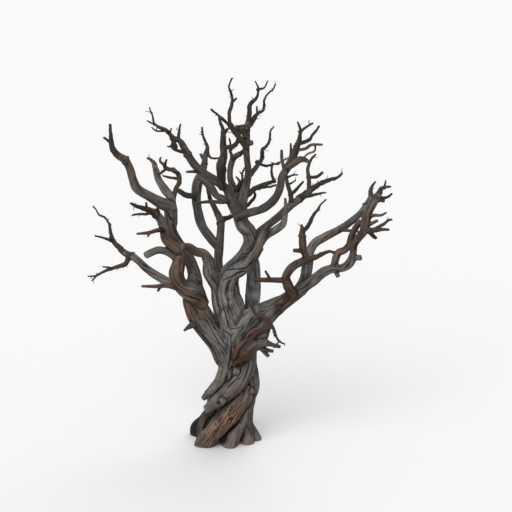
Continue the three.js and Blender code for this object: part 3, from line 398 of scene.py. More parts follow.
# For each limb: its route and the routes of its spurs
LIMBS = in_metres({
    "left_bough": ([(40, -50, 1690, 197), (-200, -80, 1910, 181), (-360, -120, 2140, 188),
        (-475, -120, 2370, 187), (-500, -90, 2580, 165), (-495, -20, 2730, 130), (-510, 60, 2895, 108),
        (-585, 120, 3100, 95), (-700, 120, 3260, 98), (-805, 80, 3415, 104), (-865, 20, 3600, 98),
        (-855, 0, 3805, 114), (-875, -40, 3970, 105), (-1015, -120, 4070, 92), (-1190, -250, 4200, 74),
        (-1345, -400, 4335, 70), (-1395, -500, 4505, 66), (-1415, -600, 4650, 61),
        (-1515, -700, 4785, 54)], [
            [(-400, -160, 2110, 68), (-500, -240, 2100, 61), (-590, -290, 2060, 42),
            (-655, -325, 2015, 12)]]),
    "centre_bough": ([(170, -80, 1770, 225), (130, -100, 2120, 212), (115, -110, 2385, 210),
        (70, -50, 2640, 162), (85, -30, 2870, 161), (225, -30, 3035, 152), (360, -20, 3200, 139),
        (420, 0, 3390, 126), (390, 0, 3570, 122), (295, -20, 3695, 119), (245, -20, 3850, 108)], []),
    "right_bough": ([(260, -50, 2000, 164), (505, -100, 2180, 166), (730, -160, 2315, 159),
        (930, -220, 2450, 129), (1120, -300, 2610, 112), (1270, -380, 2755, 95), (1430, -460, 2900, 85),
        (1565, -540, 3035, 78), (1705, -620, 3110, 69), (1855, -700, 3140, 59), (1955, -760, 3235, 72),
        (1990, -820, 3380, 58), (2000, -880, 3535, 56), (2060, -940, 3655, 56), (2130, -970, 3760, 66),
        (2150, -970, 3890, 75), (2180, -940, 4015, 69), (2235, -900, 4115, 66), (2320, -840, 4235, 50)], [
            [(340, -160, 1710, 75), (475, -200, 1890, 81), (620, -220, 2045, 84), (725, -220, 2200, 97),
            (830, -220, 2350, 97)],
            [(1720, -620, 3120, 47), (1750, -660, 3060, 40), (1780, -700, 3000, 34)],
            [(1980, -790, 3310, 46), (2050, -840, 3330, 49), (2095, -880, 3340, 48)],
            [(2150, -970, 3845, 45), (2230, -1020, 3890, 29), (2320, -1080, 3945, 21)],
            [(2195, -950, 3965, 35), (2260, -1000, 4010, 29), (2380, -1080, 4030, 22),
            (2445, -1120, 4075, 12)]]),
    "left_curl": ([(-450, -150, 2610, 118), (-535, -300, 2700, 113), (-680, -380, 2795, 111),
        (-755, -380, 2940, 116), (-725, -320, 3095, 115), (-690, -240, 3225, 86), (-770, -220, 3350, 80),
        (-910, -200, 3495, 96), (-955, -240, 3680, 73), (-1000, -320, 3840, 68), (-1075, -420, 3945, 58)], [
            [(-730, -380, 2750, 51), (-920, -420, 2790, 39), (-1060, -460, 2785, 36),
            (-1290, -540, 2805, 19)],
            [(-1000, -440, 2780, 21), (-1050, -420, 2700, 24)],
            [(-950, -260, 3650, 35), (-1050, -360, 3665, 36), (-1150, -460, 3650, 31),
            (-1340, -600, 3655, 17)],
            [(-1150, -460, 3650, 25), (-1190, -440, 3580, 13)]]),
    "left_horn": ([(-720, -300, 3175, 73), (-835, -220, 3255, 64), (-945, -220, 3305, 59),
        (-1050, -280, 3330, 56), (-1230, -400, 3275, 58)], []),
    "left_low_bough": ([(-550, -40, 2670, 101), (-765, 20, 2680, 91), (-935, 120, 2715, 82),
        (-1115, 280, 2770, 69), (-1305, 450, 2850, 65), (-1455, 600, 2945, 61),
        (-1610, 750, 3010, 57)], []),
    "left_fork_bough": ([(-850, -30, 3950, 84), (-860, 50, 4120, 74), (-970, 180, 4240, 69),
        (-1080, 340, 4380, 55), (-1130, 460, 4510, 46)], []),
    "centre_left_stem": ([(-5, -40, 2090, 119), (-95, -50, 2400, 114), (-125, -60, 2695, 110),
        (-225, -120, 2920, 113), (-250, -190, 3120, 98), (-320, -300, 3275, 71), (-440, -360, 3325, 68),
        (-550, -400, 3410, 62), (-660, -420, 3410, 50)], []),
    "centre_back_stem": ([(320, 60, 1920, 128), (420, 150, 2150, 122), (450, 260, 2400, 120),
        (460, 340, 2640, 118), (470, 360, 2900, 110), (455, 340, 3120, 90), (545, 300, 3300, 79),
        (685, 220, 3480, 66), (830, 120, 3590, 62), (940, 60, 3690, 58), (980, 0, 3850, 38),
        (980, -40, 4000, 31), (970, -80, 4130, 19)], []),
    "back_left_stem": ([(20, 120, 2580, 88), (-60, 270, 2750, 80), (-115, 350, 2950, 76),
        (-110, 400, 3190, 73), (-85, 460, 3450, 66), (-80, 500, 3650, 56)], []),
    "loop_bough": ([(-110, 400, 3230, 74), (-255, 500, 3380, 75), (-400, 620, 3570, 78),
        (-470, 740, 3790, 76), (-500, 840, 4030, 76), (-480, 900, 4220, 88), (-410, 950, 4390, 78),
        (-360, 1000, 4570, 56)], [
            [(-500, 840, 4030, 50), (-655, 600, 4080, 49), (-745, 400, 4175, 45)]]),
    "crown_left_bough": ([(265, -20, 3770, 99), (125, -60, 4070, 89), (40, -120, 4290, 66),
        (-125, -200, 4430, 69), (-305, -300, 4555, 64), (-445, -400, 4700, 62), (-570, -500, 4865, 60)], [
            [(110, -100, 4100, 35), (-30, -180, 4085, 33), (-220, -260, 4105, 30), (-450, -340, 4090, 17)],
            [(-360, -360, 4590, 28), (-480, -420, 4600, 25), (-570, -460, 4600, 17)]]),
    "crown_top_bough": ([(270, 0, 3780, 90), (295, 50, 4100, 83), (340, 100, 4300, 69),
        (380, 140, 4490, 56), (360, 160, 4715, 53), (350, 160, 4905, 54), (360, 160, 5065, 49),
        (360, 160, 5205, 43)], [
            [(370, 160, 4985, 48), (440, 120, 4990, 41)],
            [(370, 140, 5080, 35), (275, 80, 5230, 27)]]),
    "crown_arch": ([(140, 0, 4030, 56), (-10, 130, 4090, 58), (-140, 260, 4130, 58), (-240, 360, 4250, 62),
        (-350, 450, 4350, 56), (-450, 500, 4390, 39)], []),
    "crown_back_bough": ([(280, 50, 3985, 58), (190, 200, 4175, 58), (90, 320, 4370, 52),
        (90, 420, 4550, 47), (145, 460, 4705, 44)], []),
    "crown_front_bough": ([(-30, -150, 4305, 54), (-35, -300, 4435, 70), (-35, -420, 4545, 74),
        (-35, -520, 4700, 77), (15, -580, 4860, 61), (5, -620, 5015, 51), (5, -680, 5170, 36)], []),
    "right_arch": ([(185, -120, 3820, 67), (265, -160, 3860, 68), (380, -220, 3915, 68),
        (545, -340, 3980, 66), (705, -480, 4095, 65), (830, -600, 4255, 63), (880, -700, 4420, 58),
        (895, -780, 4560, 59), (960, -840, 4685, 62), (1030, -900, 4820, 60), (1085, -960, 4950, 52),
        (1110, -1020, 5045, 37)], [
            [(965, -850, 4715, 50), (1055, -960, 4785, 54), (1150, -1040, 4855, 52),
            (1225, -1100, 4860, 38), (1285, -1160, 4830, 24)],
            [(920, -800, 4700, 26), (895, -760, 4830, 27), (890, -740, 4965, 20)],
            [(1030, -900, 4830, 36), (1025, -940, 4955, 21), (1020, -960, 5085, 16)],
            [(1100, -990, 4990, 30), (1170, -1060, 5005, 22), (1240, -1120, 5030, 25),
            (1310, -1180, 5085, 23), (1465, -1280, 5100, 16)],
            [(1370, -1220, 5090, 15), (1360, -1200, 5000, 15), (1275, -1160, 4960, 15),
            (1210, -1120, 4900, 13)]]),
    "centre_right_bough": ([(425, 10, 3355, 81), (545, 100, 3520, 68), (690, 220, 3635, 64),
        (865, 380, 3745, 62), (1050, 560, 3885, 67), (1240, 740, 3995, 50)], []),
    "right_upper": ([(1205, -340, 2675, 86), (1295, -300, 2905, 94), (1330, -240, 3095, 88),
        (1360, -180, 3265, 73), (1445, -80, 3400, 72), (1620, 80, 3475, 66), (1835, 240, 3555, 62),
        (2030, 400, 3640, 59), (2195, 520, 3750, 56), (2350, 620, 3910, 50)], [
            [(1830, 240, 3560, 29), (2030, 120, 3570, 25), (2180, 20, 3570, 18)]]),
    "right_second_bough": ([(1720, -620, 3115, 53), (1740, -620, 3245, 56), (1780, -620, 3355, 56),
        (1870, -640, 3405, 53), (1950, -660, 3490, 53), (1975, -700, 3625, 52), (2020, -780, 3765, 50),
        (2080, -880, 3890, 49)], []),
    "right_front": ([(1020, -280, 2540, 84), (1080, -420, 2650, 79), (1015, -520, 2800, 79),
        (970, -580, 2950, 67), (1020, -640, 3080, 68), (1120, -700, 3190, 64), (1220, -740, 3245, 57),
        (1270, -760, 3325, 48), (1235, -780, 3420, 55), (1220, -800, 3530, 64), (1215, -820, 3680, 58)], [
            [(970, -580, 2910, 44), (800, -640, 2930, 43), (630, -680, 2940, 40), (460, -720, 2960, 27)],
            [(730, -660, 2940, 24), (650, -620, 3070, 18)],
            [(1180, -730, 3240, 48), (1290, -760, 3245, 43), (1370, -800, 3240, 35)],
            [(1225, -790, 3425, 40), (1085, -860, 3445, 28)]]),
    "front_bough": ([(210, -240, 1495, 114), (310, -340, 1635, 120), (410, -460, 1775, 99),
        (505, -560, 1855, 79), (600, -660, 1910, 57)], [
            [(490, -500, 1795, 73), (600, -560, 1930, 76), (655, -520, 2065, 70), (695, -400, 2180, 64)],
            [(535, -600, 1860, 57), (615, -660, 1825, 46), (695, -700, 1805, 30), (770, -740, 1805, 27)],
            [(590, -640, 1825, 44), (645, -680, 1760, 35), (700, -720, 1715, 28)]]),
})

# The nodes of the limbs that have more than one
NODES = {
    "left_bough": ["left_bough_lower", "left_bough_middle", "left_bough_upper"],
    "centre_bough": ["centre_bough_lower", "centre_bough_upper"],
    "right_bough": ["right_bough_lower", "right_bough_middle", "right_bough_upper"],
    "left_curl": ["left_curl_lower", "left_curl_upper"],
    "centre_left_stem": ["centre_left_stem", "centre_left_arm"],
    "centre_back_stem": ["centre_back_stem", "centre_back_bough"],
    "right_arch": ["right_arch_lower", "right_arch_upper"],
    "right_upper": ["right_upper_lower", "right_upper_outer"],
    "right_front": ["right_front_lower", "right_front_upper"],
}

# Where a limb's foot starts, inside the wood that carries it
FEET = in_metres({
    "left_curl": [(-330, -70, 2400, 75)],
})

# Strands that lie on the wood and run from one limb into another, without their buried ends
FLOWS = in_metres({
    "left_front_flow": [(-420, -200, 2260, 113), (-290, -200, 2060, 121), (-140, -200, 1870, 130),
        (-30, -190, 1650, 130), (20, -200, 1410, 124), (-70, -240, 1160, 106), (-230, -230, 960, 82)],
    "left_edge_flow": [(-570, -180, 2410, 75), (-490, -150, 2140, 85), (-300, -110, 1860, 88),
        (-180, -90, 1660, 85), (-90, -70, 1430, 78)],
    "web_flow": [(500, -170, 2280, 113), (390, -200, 2200, 121), (260, -220, 2060, 121),
        (130, -220, 1900, 113), (80, -220, 1660, 98), (80, -220, 1430, 81)],
    "under_web_flow": [(540, -160, 2180, 105), (380, -200, 2060, 97), (250, -220, 1900, 97),
        (180, -220, 1690, 81)],
    "stem_fold": [(600, -60, 3510, 65), (510, -140, 3300, 80), (340, -190, 3110, 88), (150, -210, 2980, 80),
        (20, -200, 2810, 76), (-30, -190, 2610, 80), (10, -200, 2400, 90), (50, -200, 2150, 90)],
    "stem_fold_low": [(470, -80, 3160, 64), (310, -180, 2990, 72), (150, -210, 2870, 72),
        (80, -200, 2680, 66), (90, -200, 2480, 80), (140, -210, 2260, 100)],
    "brown_upper": [(170, -360, 1600, 40), (230, -380, 1740, 52), (330, -420, 1850, 51),
        (410, -460, 1980, 48), (510, -500, 2080, 45), (620, -540, 2110, 41)],
    "brown_middle": [(230, -380, 1520, 48), (340, -440, 1660, 56), (430, -480, 1790, 51),
        (510, -540, 1910, 48), (600, -580, 1990, 41)],
    "curl_foot": [(-310, -150, 2240, 55), (-370, -200, 2410, 78), (-450, -250, 2520, 90),
        (-560, -300, 2610, 104), (-680, -330, 2710, 105)],
})

# Strands on the back and sides that carry the trunk on up or down, with the ends they have
BACK_FLOWS = in_metres({
    "front_rope_flow": [(390, -100, 1460, 80), (420, -50, 1600, 102), (420, 20, 1760, 105),
        (380, 90, 1940, 95), (330, 120, 2100, 60)],
    "right_rope_flow": [(390, 10, 1240, 90), (400, 60, 1400, 115), (370, 110, 1560, 115),
        (310, 170, 1740, 95), (250, 200, 1900, 50)],
    "right_rope_foot": [(390, -40, 1000, 85), (395, -20, 820, 98), (370, 20, 640, 95), (360, 60, 440, 80),
        (400, 70, 250, 50)],
    "front_root_flow": [(270, -190, 460, 80), (330, -160, 620, 105), (390, -120, 780, 98),
        (420, -80, 940, 80), (420, -20, 1100, 50)],
    "right_front_root_flow": [(330, -80, 480, 70), (370, -70, 660, 95), (400, -20, 840, 95),
        (410, 40, 1020, 75), (390, 80, 1180, 45)],
    "right_root_flow": [(330, 20, 480, 70), (350, 20, 660, 92), (360, 90, 860, 95), (350, 140, 1060, 85),
        (310, 170, 1260, 50)],
    "back_rope_foot": [(290, 240, 720, 85), (360, 200, 540, 100), (365, 200, 360, 85), (360, 220, 160, 78),
        (360, 250, -90, 85)],
    "right_side_flow": [(330, 0, 1250, 60), (370, 10, 1450, 100), (390, 20, 1700, 118),
        (440, 10, 1920, 125), (540, -20, 2100, 120), (680, -80, 2260, 110), (860, -180, 2400, 70)],
    "back_right_flow": [(300, 80, 1150, 60), (350, 120, 1400, 100), (380, 140, 1680, 120),
        (420, 160, 1950, 115), (450, 240, 2200, 105), (460, 320, 2460, 80), (460, 340, 2640, 50)],
    "back_middle_flow": [(150, 120, 1050, 60), (200, 190, 1300, 100), (250, 200, 1600, 115),
        (310, 190, 1880, 110), (380, 200, 2120, 90), (430, 260, 2360, 50)],
    "back_centre_flow": [(120, 140, 1350, 60), (120, 200, 1580, 110), (130, 180, 1850, 135),
        (120, 100, 2120, 130), (110, 50, 2400, 110), (80, 40, 2620, 60)],
    "back_left_flow": [(100, 120, 1400, 60), (20, 160, 1620, 110), (-120, 120, 1860, 130),
        (-280, 80, 2100, 120), (-400, 50, 2340, 110), (-470, 20, 2560, 80)],
})

# Lumps that stand out of the wood, in the same way
KNOBS = in_metres({
    "trunk_knob": [(20, -360, 900, 55), (-30, -430, 880, 62), (-60, -470, 860, 55)],
})

# For each mass: its twigs, each with its radius where it starts and where it ends, and its route
MASSES = in_metres({
    "left_tip_twigs": [
        (45, 13, [(-1480, -700, 4810), (-1570, -760, 4880), (-1630, -820, 4970), (-1650, -880, 5080),
            (-1650, -940, 5220), (-1650, -1000, 5370)]),
        (19, 10, [(-1650, -880, 5080), (-1710, -900, 5130), (-1760, -920, 5170)]),
    ],
    "left_curl_twigs": [
        (47, 12, [(-1070, -420, 3950), (-1160, -550, 4020), (-1260, -680, 4080), (-1330, -800, 4130),
            (-1390, -900, 4180)]),
        (22, 12, [(-1160, -550, 4020), (-1180, -600, 4090), (-1180, -640, 4150)]),
        (25, 12, [(-1110, -480, 3980), (-1210, -420, 3930), (-1320, -400, 3930), (-1430, -400, 3910)]),
        (25, 17, [(-1080, -440, 3960), (-1020, -500, 4030), (-1010, -500, 4080)]),
    ],
    "left_low_twigs": [
        (51, 17, [(-1610, 750, 3020), (-1720, 820, 3050), (-1830, 880, 3140), (-1920, 940, 3220),
            (-1970, 1000, 3310), (-2000, 1060, 3420), (-2010, 1100, 3520)]),
        (17, 10, [(-2010, 1090, 3500), (-2100, 1160, 3610), (-2210, 1220, 3650), (-2250, 1260, 3710),
            (-2320, 1300, 3780)]),
        (24, 12, [(-1920, 940, 3220), (-2060, 860, 3300), (-2220, 780, 3360)]),
        (41, 10, [(-1650, 770, 3030), (-1710, 800, 2880), (-1850, 860, 2810), (-2000, 920, 2750),
            (-2130, 980, 2690), (-2260, 1020, 2610), (-2410, 1060, 2590)]),
        (14, 10, [(-2240, 1015, 2625), (-2290, 1000, 2570), (-2330, 980, 2530)]),
        (15, 10, [(-1960, 900, 2770), (-2030, 800, 2810), (-2090, 700, 2840)]),
    ],
    "left_fork_twigs": [
        (39, 13, [(-1130, 460, 4510), (-1170, 560, 4610), (-1220, 620, 4660), (-1290, 680, 4690)]),
    ],
    "left_loop_twigs": [
        (38, 29, [(-830, 40, 4090), (-785, 100, 4240), (-730, 200, 4360), (-750, 300, 4460),
            (-860, 400, 4530)]),
        (29, 13, [(-850, 390, 4525), (-970, 500, 4540), (-1010, 560, 4590), (-1070, 600, 4640),
            (-1070, 640, 4700)]),
        (20, 13, [(-980, 500, 4540), (-970, 440, 4620), (-950, 400, 4690)]),
        (23, 14, [(-960, 490, 4535), (-1000, 340, 4510), (-1060, 200, 4480)]),
        (23, 13, [(-730, 240, 4400), (-880, 220, 4420), (-990, 160, 4460)]),
    ],
    "crown_left_twigs": [
        (46, 14, [(-550, -500, 4885), (-605, -540, 5000), (-660, -580, 5090), (-750, -620, 5140),
            (-840, -680, 5250), (-950, -740, 5310), (-1030, -780, 5370)]),
        (14, 9, [(-1020, -775, 5362), (-1040, -800, 5490), (-1080, -820, 5610)]),
        (12, 9, [(-1015, -772, 5358), (-1080, -840, 5390), (-1110, -880, 5420)]),
        (14, 9, [(-850, -685, 5255), (-990, -620, 5240), (-1080, -560, 5290)]),
        (21, 9, [(-680, -590, 5100), (-650, -640, 5260), (-630, -680, 5350)]),
        (18, 9, [(-760, -625, 5150), (-790, -660, 5200), (-770, -700, 5290)]),
        (28, 14, [(-560, -510, 4905), (-675, -600, 4940), (-770, -660, 5010), (-740, -640, 5110)]),
        (15, 9, [(-760, -655, 5005), (-830, -720, 5020)]),
    ],
    "loop_twigs": [
        (40, 12, [(-360, 1000, 4570), (-350, 1040, 4700), (-315, 1060, 4800), (-340, 1100, 4890),
            (-390, 1140, 5010), (-410, 1180, 5160)]),
        (25, 14, [(-355, 1015, 4610), (-400, 1060, 4650), (-430, 1100, 4710)]),
        (24, 13, [(-315, 1055, 4780), (-265, 980, 4665), (-110, 900, 4655)]),
    ],
    "crown_front_twigs": [
        (32, 16, [(10, -680, 5170), (10, -700, 5250), (-20, -720, 5350), (-50, -740, 5450)]),
        (21, 12, [(8, -690, 5230), (40, -740, 5260), (90, -780, 5290)]),
    ],
    "crown_front_side_twigs": [
        (36, 28, [(10, -620, 4990), (100, -680, 5000), (170, -720, 5030), (230, -760, 5100),
            (240, -780, 5220), (230, -800, 5320)]),
        (24, 19, [(230, -800, 5320), (330, -860, 5340), (420, -920, 5340)]),
    ],
    "top_left_twigs": [
        (51, 36, [(340, 130, 4930), (200, 0, 5140), (90, -100, 5300)]),
        (31, 12, [(100, -90, 5285), (-50, -200, 5420), (-190, -300, 5550)]),
        (34, 11, [(100, -90, 5280), (90, -120, 5480), (140, -140, 5650), (120, -160, 5790),
            (90, -180, 5890), (140, -200, 6020)]),
        (22, 15, [(135, -140, 5635), (200, -200, 5710)]),
    ],
    "crown_back_twigs": [
        (41, 31, [(140, 460, 4710), (240, 420, 4780), (310, 380, 4830)]),
        (29, 18, [(140, 460, 4710), (70, 540, 4830)]),
    ],
    "top_twigs": [
        (40, 9, [(360, 160, 5210), (380, 160, 5320), (400, 150, 5440), (410, 140, 5600), (500, 120, 5680),
            (540, 100, 5780), (540, 80, 5860), (490, 60, 5960)]),
        (16, 9, [(540, 88, 5830), (620, 140, 5850), (650, 180, 5870), (690, 220, 5960)]),
        (27, 16, [(378, 162, 5290), (460, 240, 5370), (530, 300, 5440), (620, 360, 5490),
            (640, 400, 5590)]),
        (16, 10, [(638, 395, 5575), (640, 440, 5660), (710, 480, 5760), (780, 520, 5810),
            (820, 550, 5900)]),
        (16, 10, [(525, 297, 5435), (520, 280, 5500), (520, 260, 5560)]),
        (29, 22, [(390, 180, 5240), (470, 260, 5330), (510, 320, 5400)]),
    ],
    "crown_right_twigs": [
        (42, 23, [(320, 60, 4130), (490, 250, 4240), (650, 450, 4280), (820, 650, 4310)]),
        (22, 10, [(805, 635, 4307), (760, 700, 4470), (790, 760, 4600)]),
        (24, 13, [(490, 255, 4240), (640, 360, 4245), (730, 440, 4240), (840, 500, 4265)]),
    ],
    "mid_right_twigs": [
        (37, 10, [(390, 150, 4450), (515, 300, 4590), (600, 420, 4700), (610, 500, 4840), (670, 580, 4890),
            (730, 640, 4980), (740, 700, 5110), (800, 750, 5200)]),
        (21, 10, [(530, 340, 4655), (650, 500, 4580), (770, 620, 4580), (900, 740, 4610),
            (1040, 860, 4670)]),
    ],
    "arch_twigs": [
        (35, 10, [(1110, -1020, 5050), (1140, -1100, 5150), (1150, -1200, 5290), (1110, -1280, 5430)]),
        (19, 12, [(1150, -1200, 5280), (1230, -1240, 5350), (1330, -1280, 5410)]),
        (27, 12, [(1130, -1060, 5100), (1210, -1120, 5120), (1280, -1180, 5160), (1330, -1240, 5240),
            (1420, -1320, 5370)]),
    ],
    "centre_right_twigs": [
        (49, 15, [(1240, 740, 4000), (1415, 860, 4120), (1585, 960, 4215), (1760, 1060, 4275),
            (1890, 1120, 4300), (1980, 1180, 4370)]),
        (34, 14, [(1395, 860, 4110), (1400, 940, 4290), (1380, 1000, 4410), (1400, 1060, 4530),
            (1450, 1100, 4630), (1520, 1140, 4700)]),
        (30, 12, [(1290, 780, 4020), (1420, 660, 4065), (1530, 580, 4105), (1650, 500, 4135)]),
        (27, 17, [(1395, 1000, 4325), (1540, 920, 4350), (1620, 860, 4430)]),
    ],
    "centre_right_side_twigs": [
        (43, 17, [(1090, 600, 3930), (1080, 560, 4090), (1030, 580, 4250), (1000, 600, 4420)]),
        (28, 13, [(1080, 562, 4085), (1190, 480, 4220), (1280, 420, 4330)]),
        (18, 10, [(1010, 595, 4360), (1100, 680, 4400), (1200, 740, 4400)]),
        (18, 10, [(1032, 580, 4245), (1160, 660, 4320)]),
    ],
    "right_tip_twigs": [
        (48, 15, [(2160, -980, 3790), (2230, -1040, 3790), (2340, -1140, 3820), (2470, -1260, 3840)]),
        (25, 12, [(2280, -1100, 3810), (2350, -1160, 3880), (2410, -1200, 3920), (2460, -1240, 3980),
            (2510, -1280, 4000)]),
        (33, 21, [(2210, -1020, 3770), (2260, -980, 3710), (2320, -940, 3650)]),
    ],
    "right_upper_twigs": [
        (48, 12, [(2350, 620, 3910), (2415, 680, 4020), (2425, 740, 4140), (2450, 780, 4210),
            (2510, 820, 4280)]),
        (22, 18, [(2415, 670, 4000), (2480, 700, 4040)]),
    ],
    "right_rising_twigs": [
        (47, 10, [(2320, -840, 4240), (2360, -860, 4320), (2390, -880, 4400), (2450, -920, 4430),
            (2530, -960, 4440)]),
        (17, 10, [(2430, -900, 4420), (2450, -920, 4530)]),
        (29, 12, [(2350, -850, 4280), (2420, -800, 4240), (2500, -760, 4250), (2580, -720, 4300)]),
        (24, 17, [(2340, -840, 4220), (2450, -800, 4200)]),
    ],
    "right_front_twigs": [
        (40, 14, [(1210, -820, 3680), (1210, -830, 3760), (1200, -840, 3840)]),
        (29, 9, [(1210, -826, 3720), (1310, -900, 3860), (1370, -960, 4010), (1430, -1000, 4090),
            (1470, -1040, 4180), (1550, -1080, 4270)]),
    ],
    "right_front_side_twigs": [
        (42, 13, [(1270, -760, 3275), (1400, -860, 3335), (1510, -930, 3405), (1600, -980, 3455),
            (1700, -1030, 3450)]),
    ],
    "front_vine_twigs": [
        (51, 44, [(360, -500, 1780), (430, -540, 1910), (500, -580, 2040), (580, -600, 2100),
            (660, -620, 2120), (730, -620, 2170)]),
        (44, 16, [(730, -620, 2170), (690, -620, 2270), (600, -600, 2320), (500, -580, 2360),
            (460, -560, 2440), (410, -540, 2530), (360, -520, 2610)]),
        (35, 13, [(740, -620, 2190), (770, -640, 2150), (810, -680, 2050), (880, -720, 1950),
            (960, -760, 1920)]),
        (19, 16, [(780, -650, 2120), (800, -670, 2020)]),
        (14, 13, [(870, -720, 1950), (820, -740, 1910)]),
    ],
    "front_finger_twigs": [
        (51, 27, [(600, -660, 1910), (690, -740, 1930), (790, -800, 1920), (880, -860, 1910)]),
    ],
    "back_left_twigs": [
        (50, 17, [(-80, 500, 3650), (-140, 580, 3790), (-230, 660, 3940), (-290, 740, 4110),
            (-310, 800, 4260)]),
        (40, 12, [(-95, 520, 3685), (45, 600, 3700), (240, 700, 3805), (405, 800, 3920), (490, 860, 4050),
            (450, 900, 4110)]),
    ],
})

# Small twigs too thin for the part's solids, in the same way
EXTRA_TWIGS = in_metres({
    "crown_back_twigs": [
        (18, 10, [(305, 100, 4286), (257, 70, 4378), (186, 30, 4464)]),
        (18, 10, [(289, 100, 4302), (285, 50, 4493), (321, 0, 4612)]),
        (11, 8, [(285, 50, 4485), (244, 0, 4548)]),
        (50, 20, [(182, 200, 4190), (223, 150, 4279), (249, 100, 4358)]),
    ],
    "crown_front_side_twigs": [
        (16, 10, [(127, -690, 4976), (122, -720, 5054), (104, -760, 5141)]),
    ],
    "crown_front_twigs": [
        (16, 10, [(15, -680, 5171), (50, -700, 5224), (94, -740, 5285)]),
        (16, 10, [(9, -400, 4481), (26, -440, 4580), (39, -500, 4675)]),
    ],
    "top_left_twigs": [
        (22, 14, [(315, 100, 5101), (268, 70, 5175), (230, 40, 5223)]),
    ],
    "crown_left_twigs": [
        (30, 22, [(-760, -630, 5121), (-730, -640, 5047), (-704, -600, 4982)]),
    ],
})

PIECES = {
    "trunk_and_boughs": [
        "left_bough", "centre_bough", "right_bough", "left_low_bough", "left_fork_bough",
        "centre_left_stem", "centre_back_stem", "back_left_stem", "right_upper",
        "left_curl", "left_horn", "front_bough", "right_front", "right_second_bough",
    ],
    "crown_boughs": [
        "loop_bough", "crown_left_bough", "crown_top_bough", "crown_arch", "crown_back_bough",
        "crown_front_bough", "right_arch", "centre_right_bough",
    ],
}
BUNDLES = {
    "left_twigs": ["left_tip_twigs", "left_curl_twigs", "left_low_twigs", "left_fork_twigs",
                   "left_loop_twigs"],
    "crown_left_side_twigs": ["crown_left_twigs", "loop_twigs", "back_left_twigs"],
    "crown_top_twigs": ["crown_front_twigs", "crown_front_side_twigs", "top_left_twigs",
                        "crown_back_twigs", "top_twigs"],
    "crown_right_side_twigs": ["crown_right_twigs", "mid_right_twigs", "arch_twigs",
                               "centre_right_twigs", "centre_right_side_twigs"],
    "right_twigs": ["right_tip_twigs", "right_upper_twigs", "right_rising_twigs",
                    "right_front_twigs", "right_front_side_twigs"],
    "front_twigs": ["front_vine_twigs", "front_finger_twigs"],
}

# How much slimmer a mass's twigs are than its solids, at their foot and at their tip
SLIM_MASSES = {
    "front_vine_twigs": (0.75, 0.75), "top_left_twigs": (0.75, 1.0),
    "crown_front_side_twigs": (0.85, 1.0), "left_tip_twigs": (1.15, 1.3),
    "front_finger_twigs": (0.8, 0.8),
}
WARM_MASSES = ("front_vine_twigs", "right_front_side_twigs")


# Curves

def spline(points, per_span):
    """Places along a centripetal Catmull-Rom curve and its directions there, span by span."""
    points = np.asarray(points, float)
    before = 2 * points[0] - points[1]
    after = 2 * points[-1] - points[-2]
    every = np.vstack([before, points, after])
    places = []
    directions = []
    spans = len(points) - 1
    for span in range(spans):
        p0, p1, p2, p3 = every[span:span + 4]
        d0 = np.sum((p1 - p0) ** 2) ** 0.25
        d1 = np.sum((p2 - p1) ** 2) ** 0.25
        d2 = np.sum((p3 - p2) ** 2) ** 0.25
        t1 = ((p1 - p0) / d0 - (p2 - p0) / (d0 + d1) + (p2 - p1) / d1) * d1
        t2 = ((p2 - p1) / d1 - (p3 - p1) / (d1 + d2) + (p3 - p2) / d2) * d1
        count = per_span[span]
        steps = np.arange(count + (span == spans - 1)) / count
        t = steps[:, None]
        cubic = 2 * p1 - 2 * p2 + t1 + t2
        square = -3 * p1 + 3 * p2 - 2 * t1 - t2
        places.append(p1 + t1 * t + square * t ** 2 + cubic * t ** 3)
        directions.append(t1 + 2 * square * t + 3 * cubic * t ** 2)
    directions = np.vstack(directions)
    directions /= np.linalg.norm(directions, axis=1)[:, None]
    return np.vstack(places), directions


def rings_along(route, step=None, per_span=None):
    """Rings of a limb: centre, direction, two sideways arrows, radius and distance walked."""
    route = np.asarray(route, float)
    spans = len(route) - 1
    if per_span is None:
        chords = np.linalg.norm(np.diff(route[:, :3], axis=0), axis=1)
        counts = [max(2, math.ceil(chord / step)) for chord in chords]
    else:
        counts = [per_span] * spans
    centre, along = spline(route[:, :3], counts)
    place = np.concatenate([i + np.arange(n) / n for i, n in enumerate(counts)] + [[spans]])
    radius = np.interp(place, np.arange(spans + 1), route[:, 3])
    side = np.empty_like(along)
    arrow = np.array([0.0, 1.0, 0.0])
    for i, direction in enumerate(along):
        arrow = arrow - direction * arrow.dot(direction)
        arrow /= np.linalg.norm(arrow)
        side[i] = arrow
    across = np.cross(along, side)
    gaps = np.linalg.norm(np.diff(centre, axis=0), axis=1)
    walked = np.concatenate([[0], np.cumsum(gaps)])
    return {"centre": centre, "along": along, "side": side, "across": across,
            "radius": radius, "walked": walked}


# Noise

def perlin(points, seed):
    """Smooth noise from about -1 to 1 at each point, the same on every run."""
    points = points.astype(np.float32)
    arrows = np.random.default_rng(seed).normal(size=(256, 3)).astype(np.float32)
    arrows /= np.linalg.norm(arrows, axis=1)[:, None]
    low = np.floor(points)
    cell = low.astype(np.int64)
    inside = points - low
    fade = inside ** 3 * (inside * (inside * 6 - 15) + 10)
    total = np.zeros(len(points), np.float32)
    for corner in np.ndindex(2, 2, 2):
        wx, wy, wz = (fade[:, i] if corner[i] else 1 - fade[:, i] for i in range(3))
        mixed = (cell[:, 0] + corner[0]) * 73856093
        mixed ^= (cell[:, 1] + corner[1]) * 19349663
        mixed ^= (cell[:, 2] + corner[2]) * 83492791
        mixed ^= mixed >> 13
        arrow = arrows[mixed & 255]
        total += wx * wy * wz * (
            arrow[:, 0] * (inside[:, 0] - corner[0])
            + arrow[:, 1] * (inside[:, 1] - corner[1])
            + arrow[:, 2] * (inside[:, 2] - corner[2])
        )
    return total * 1.6


# Meshes

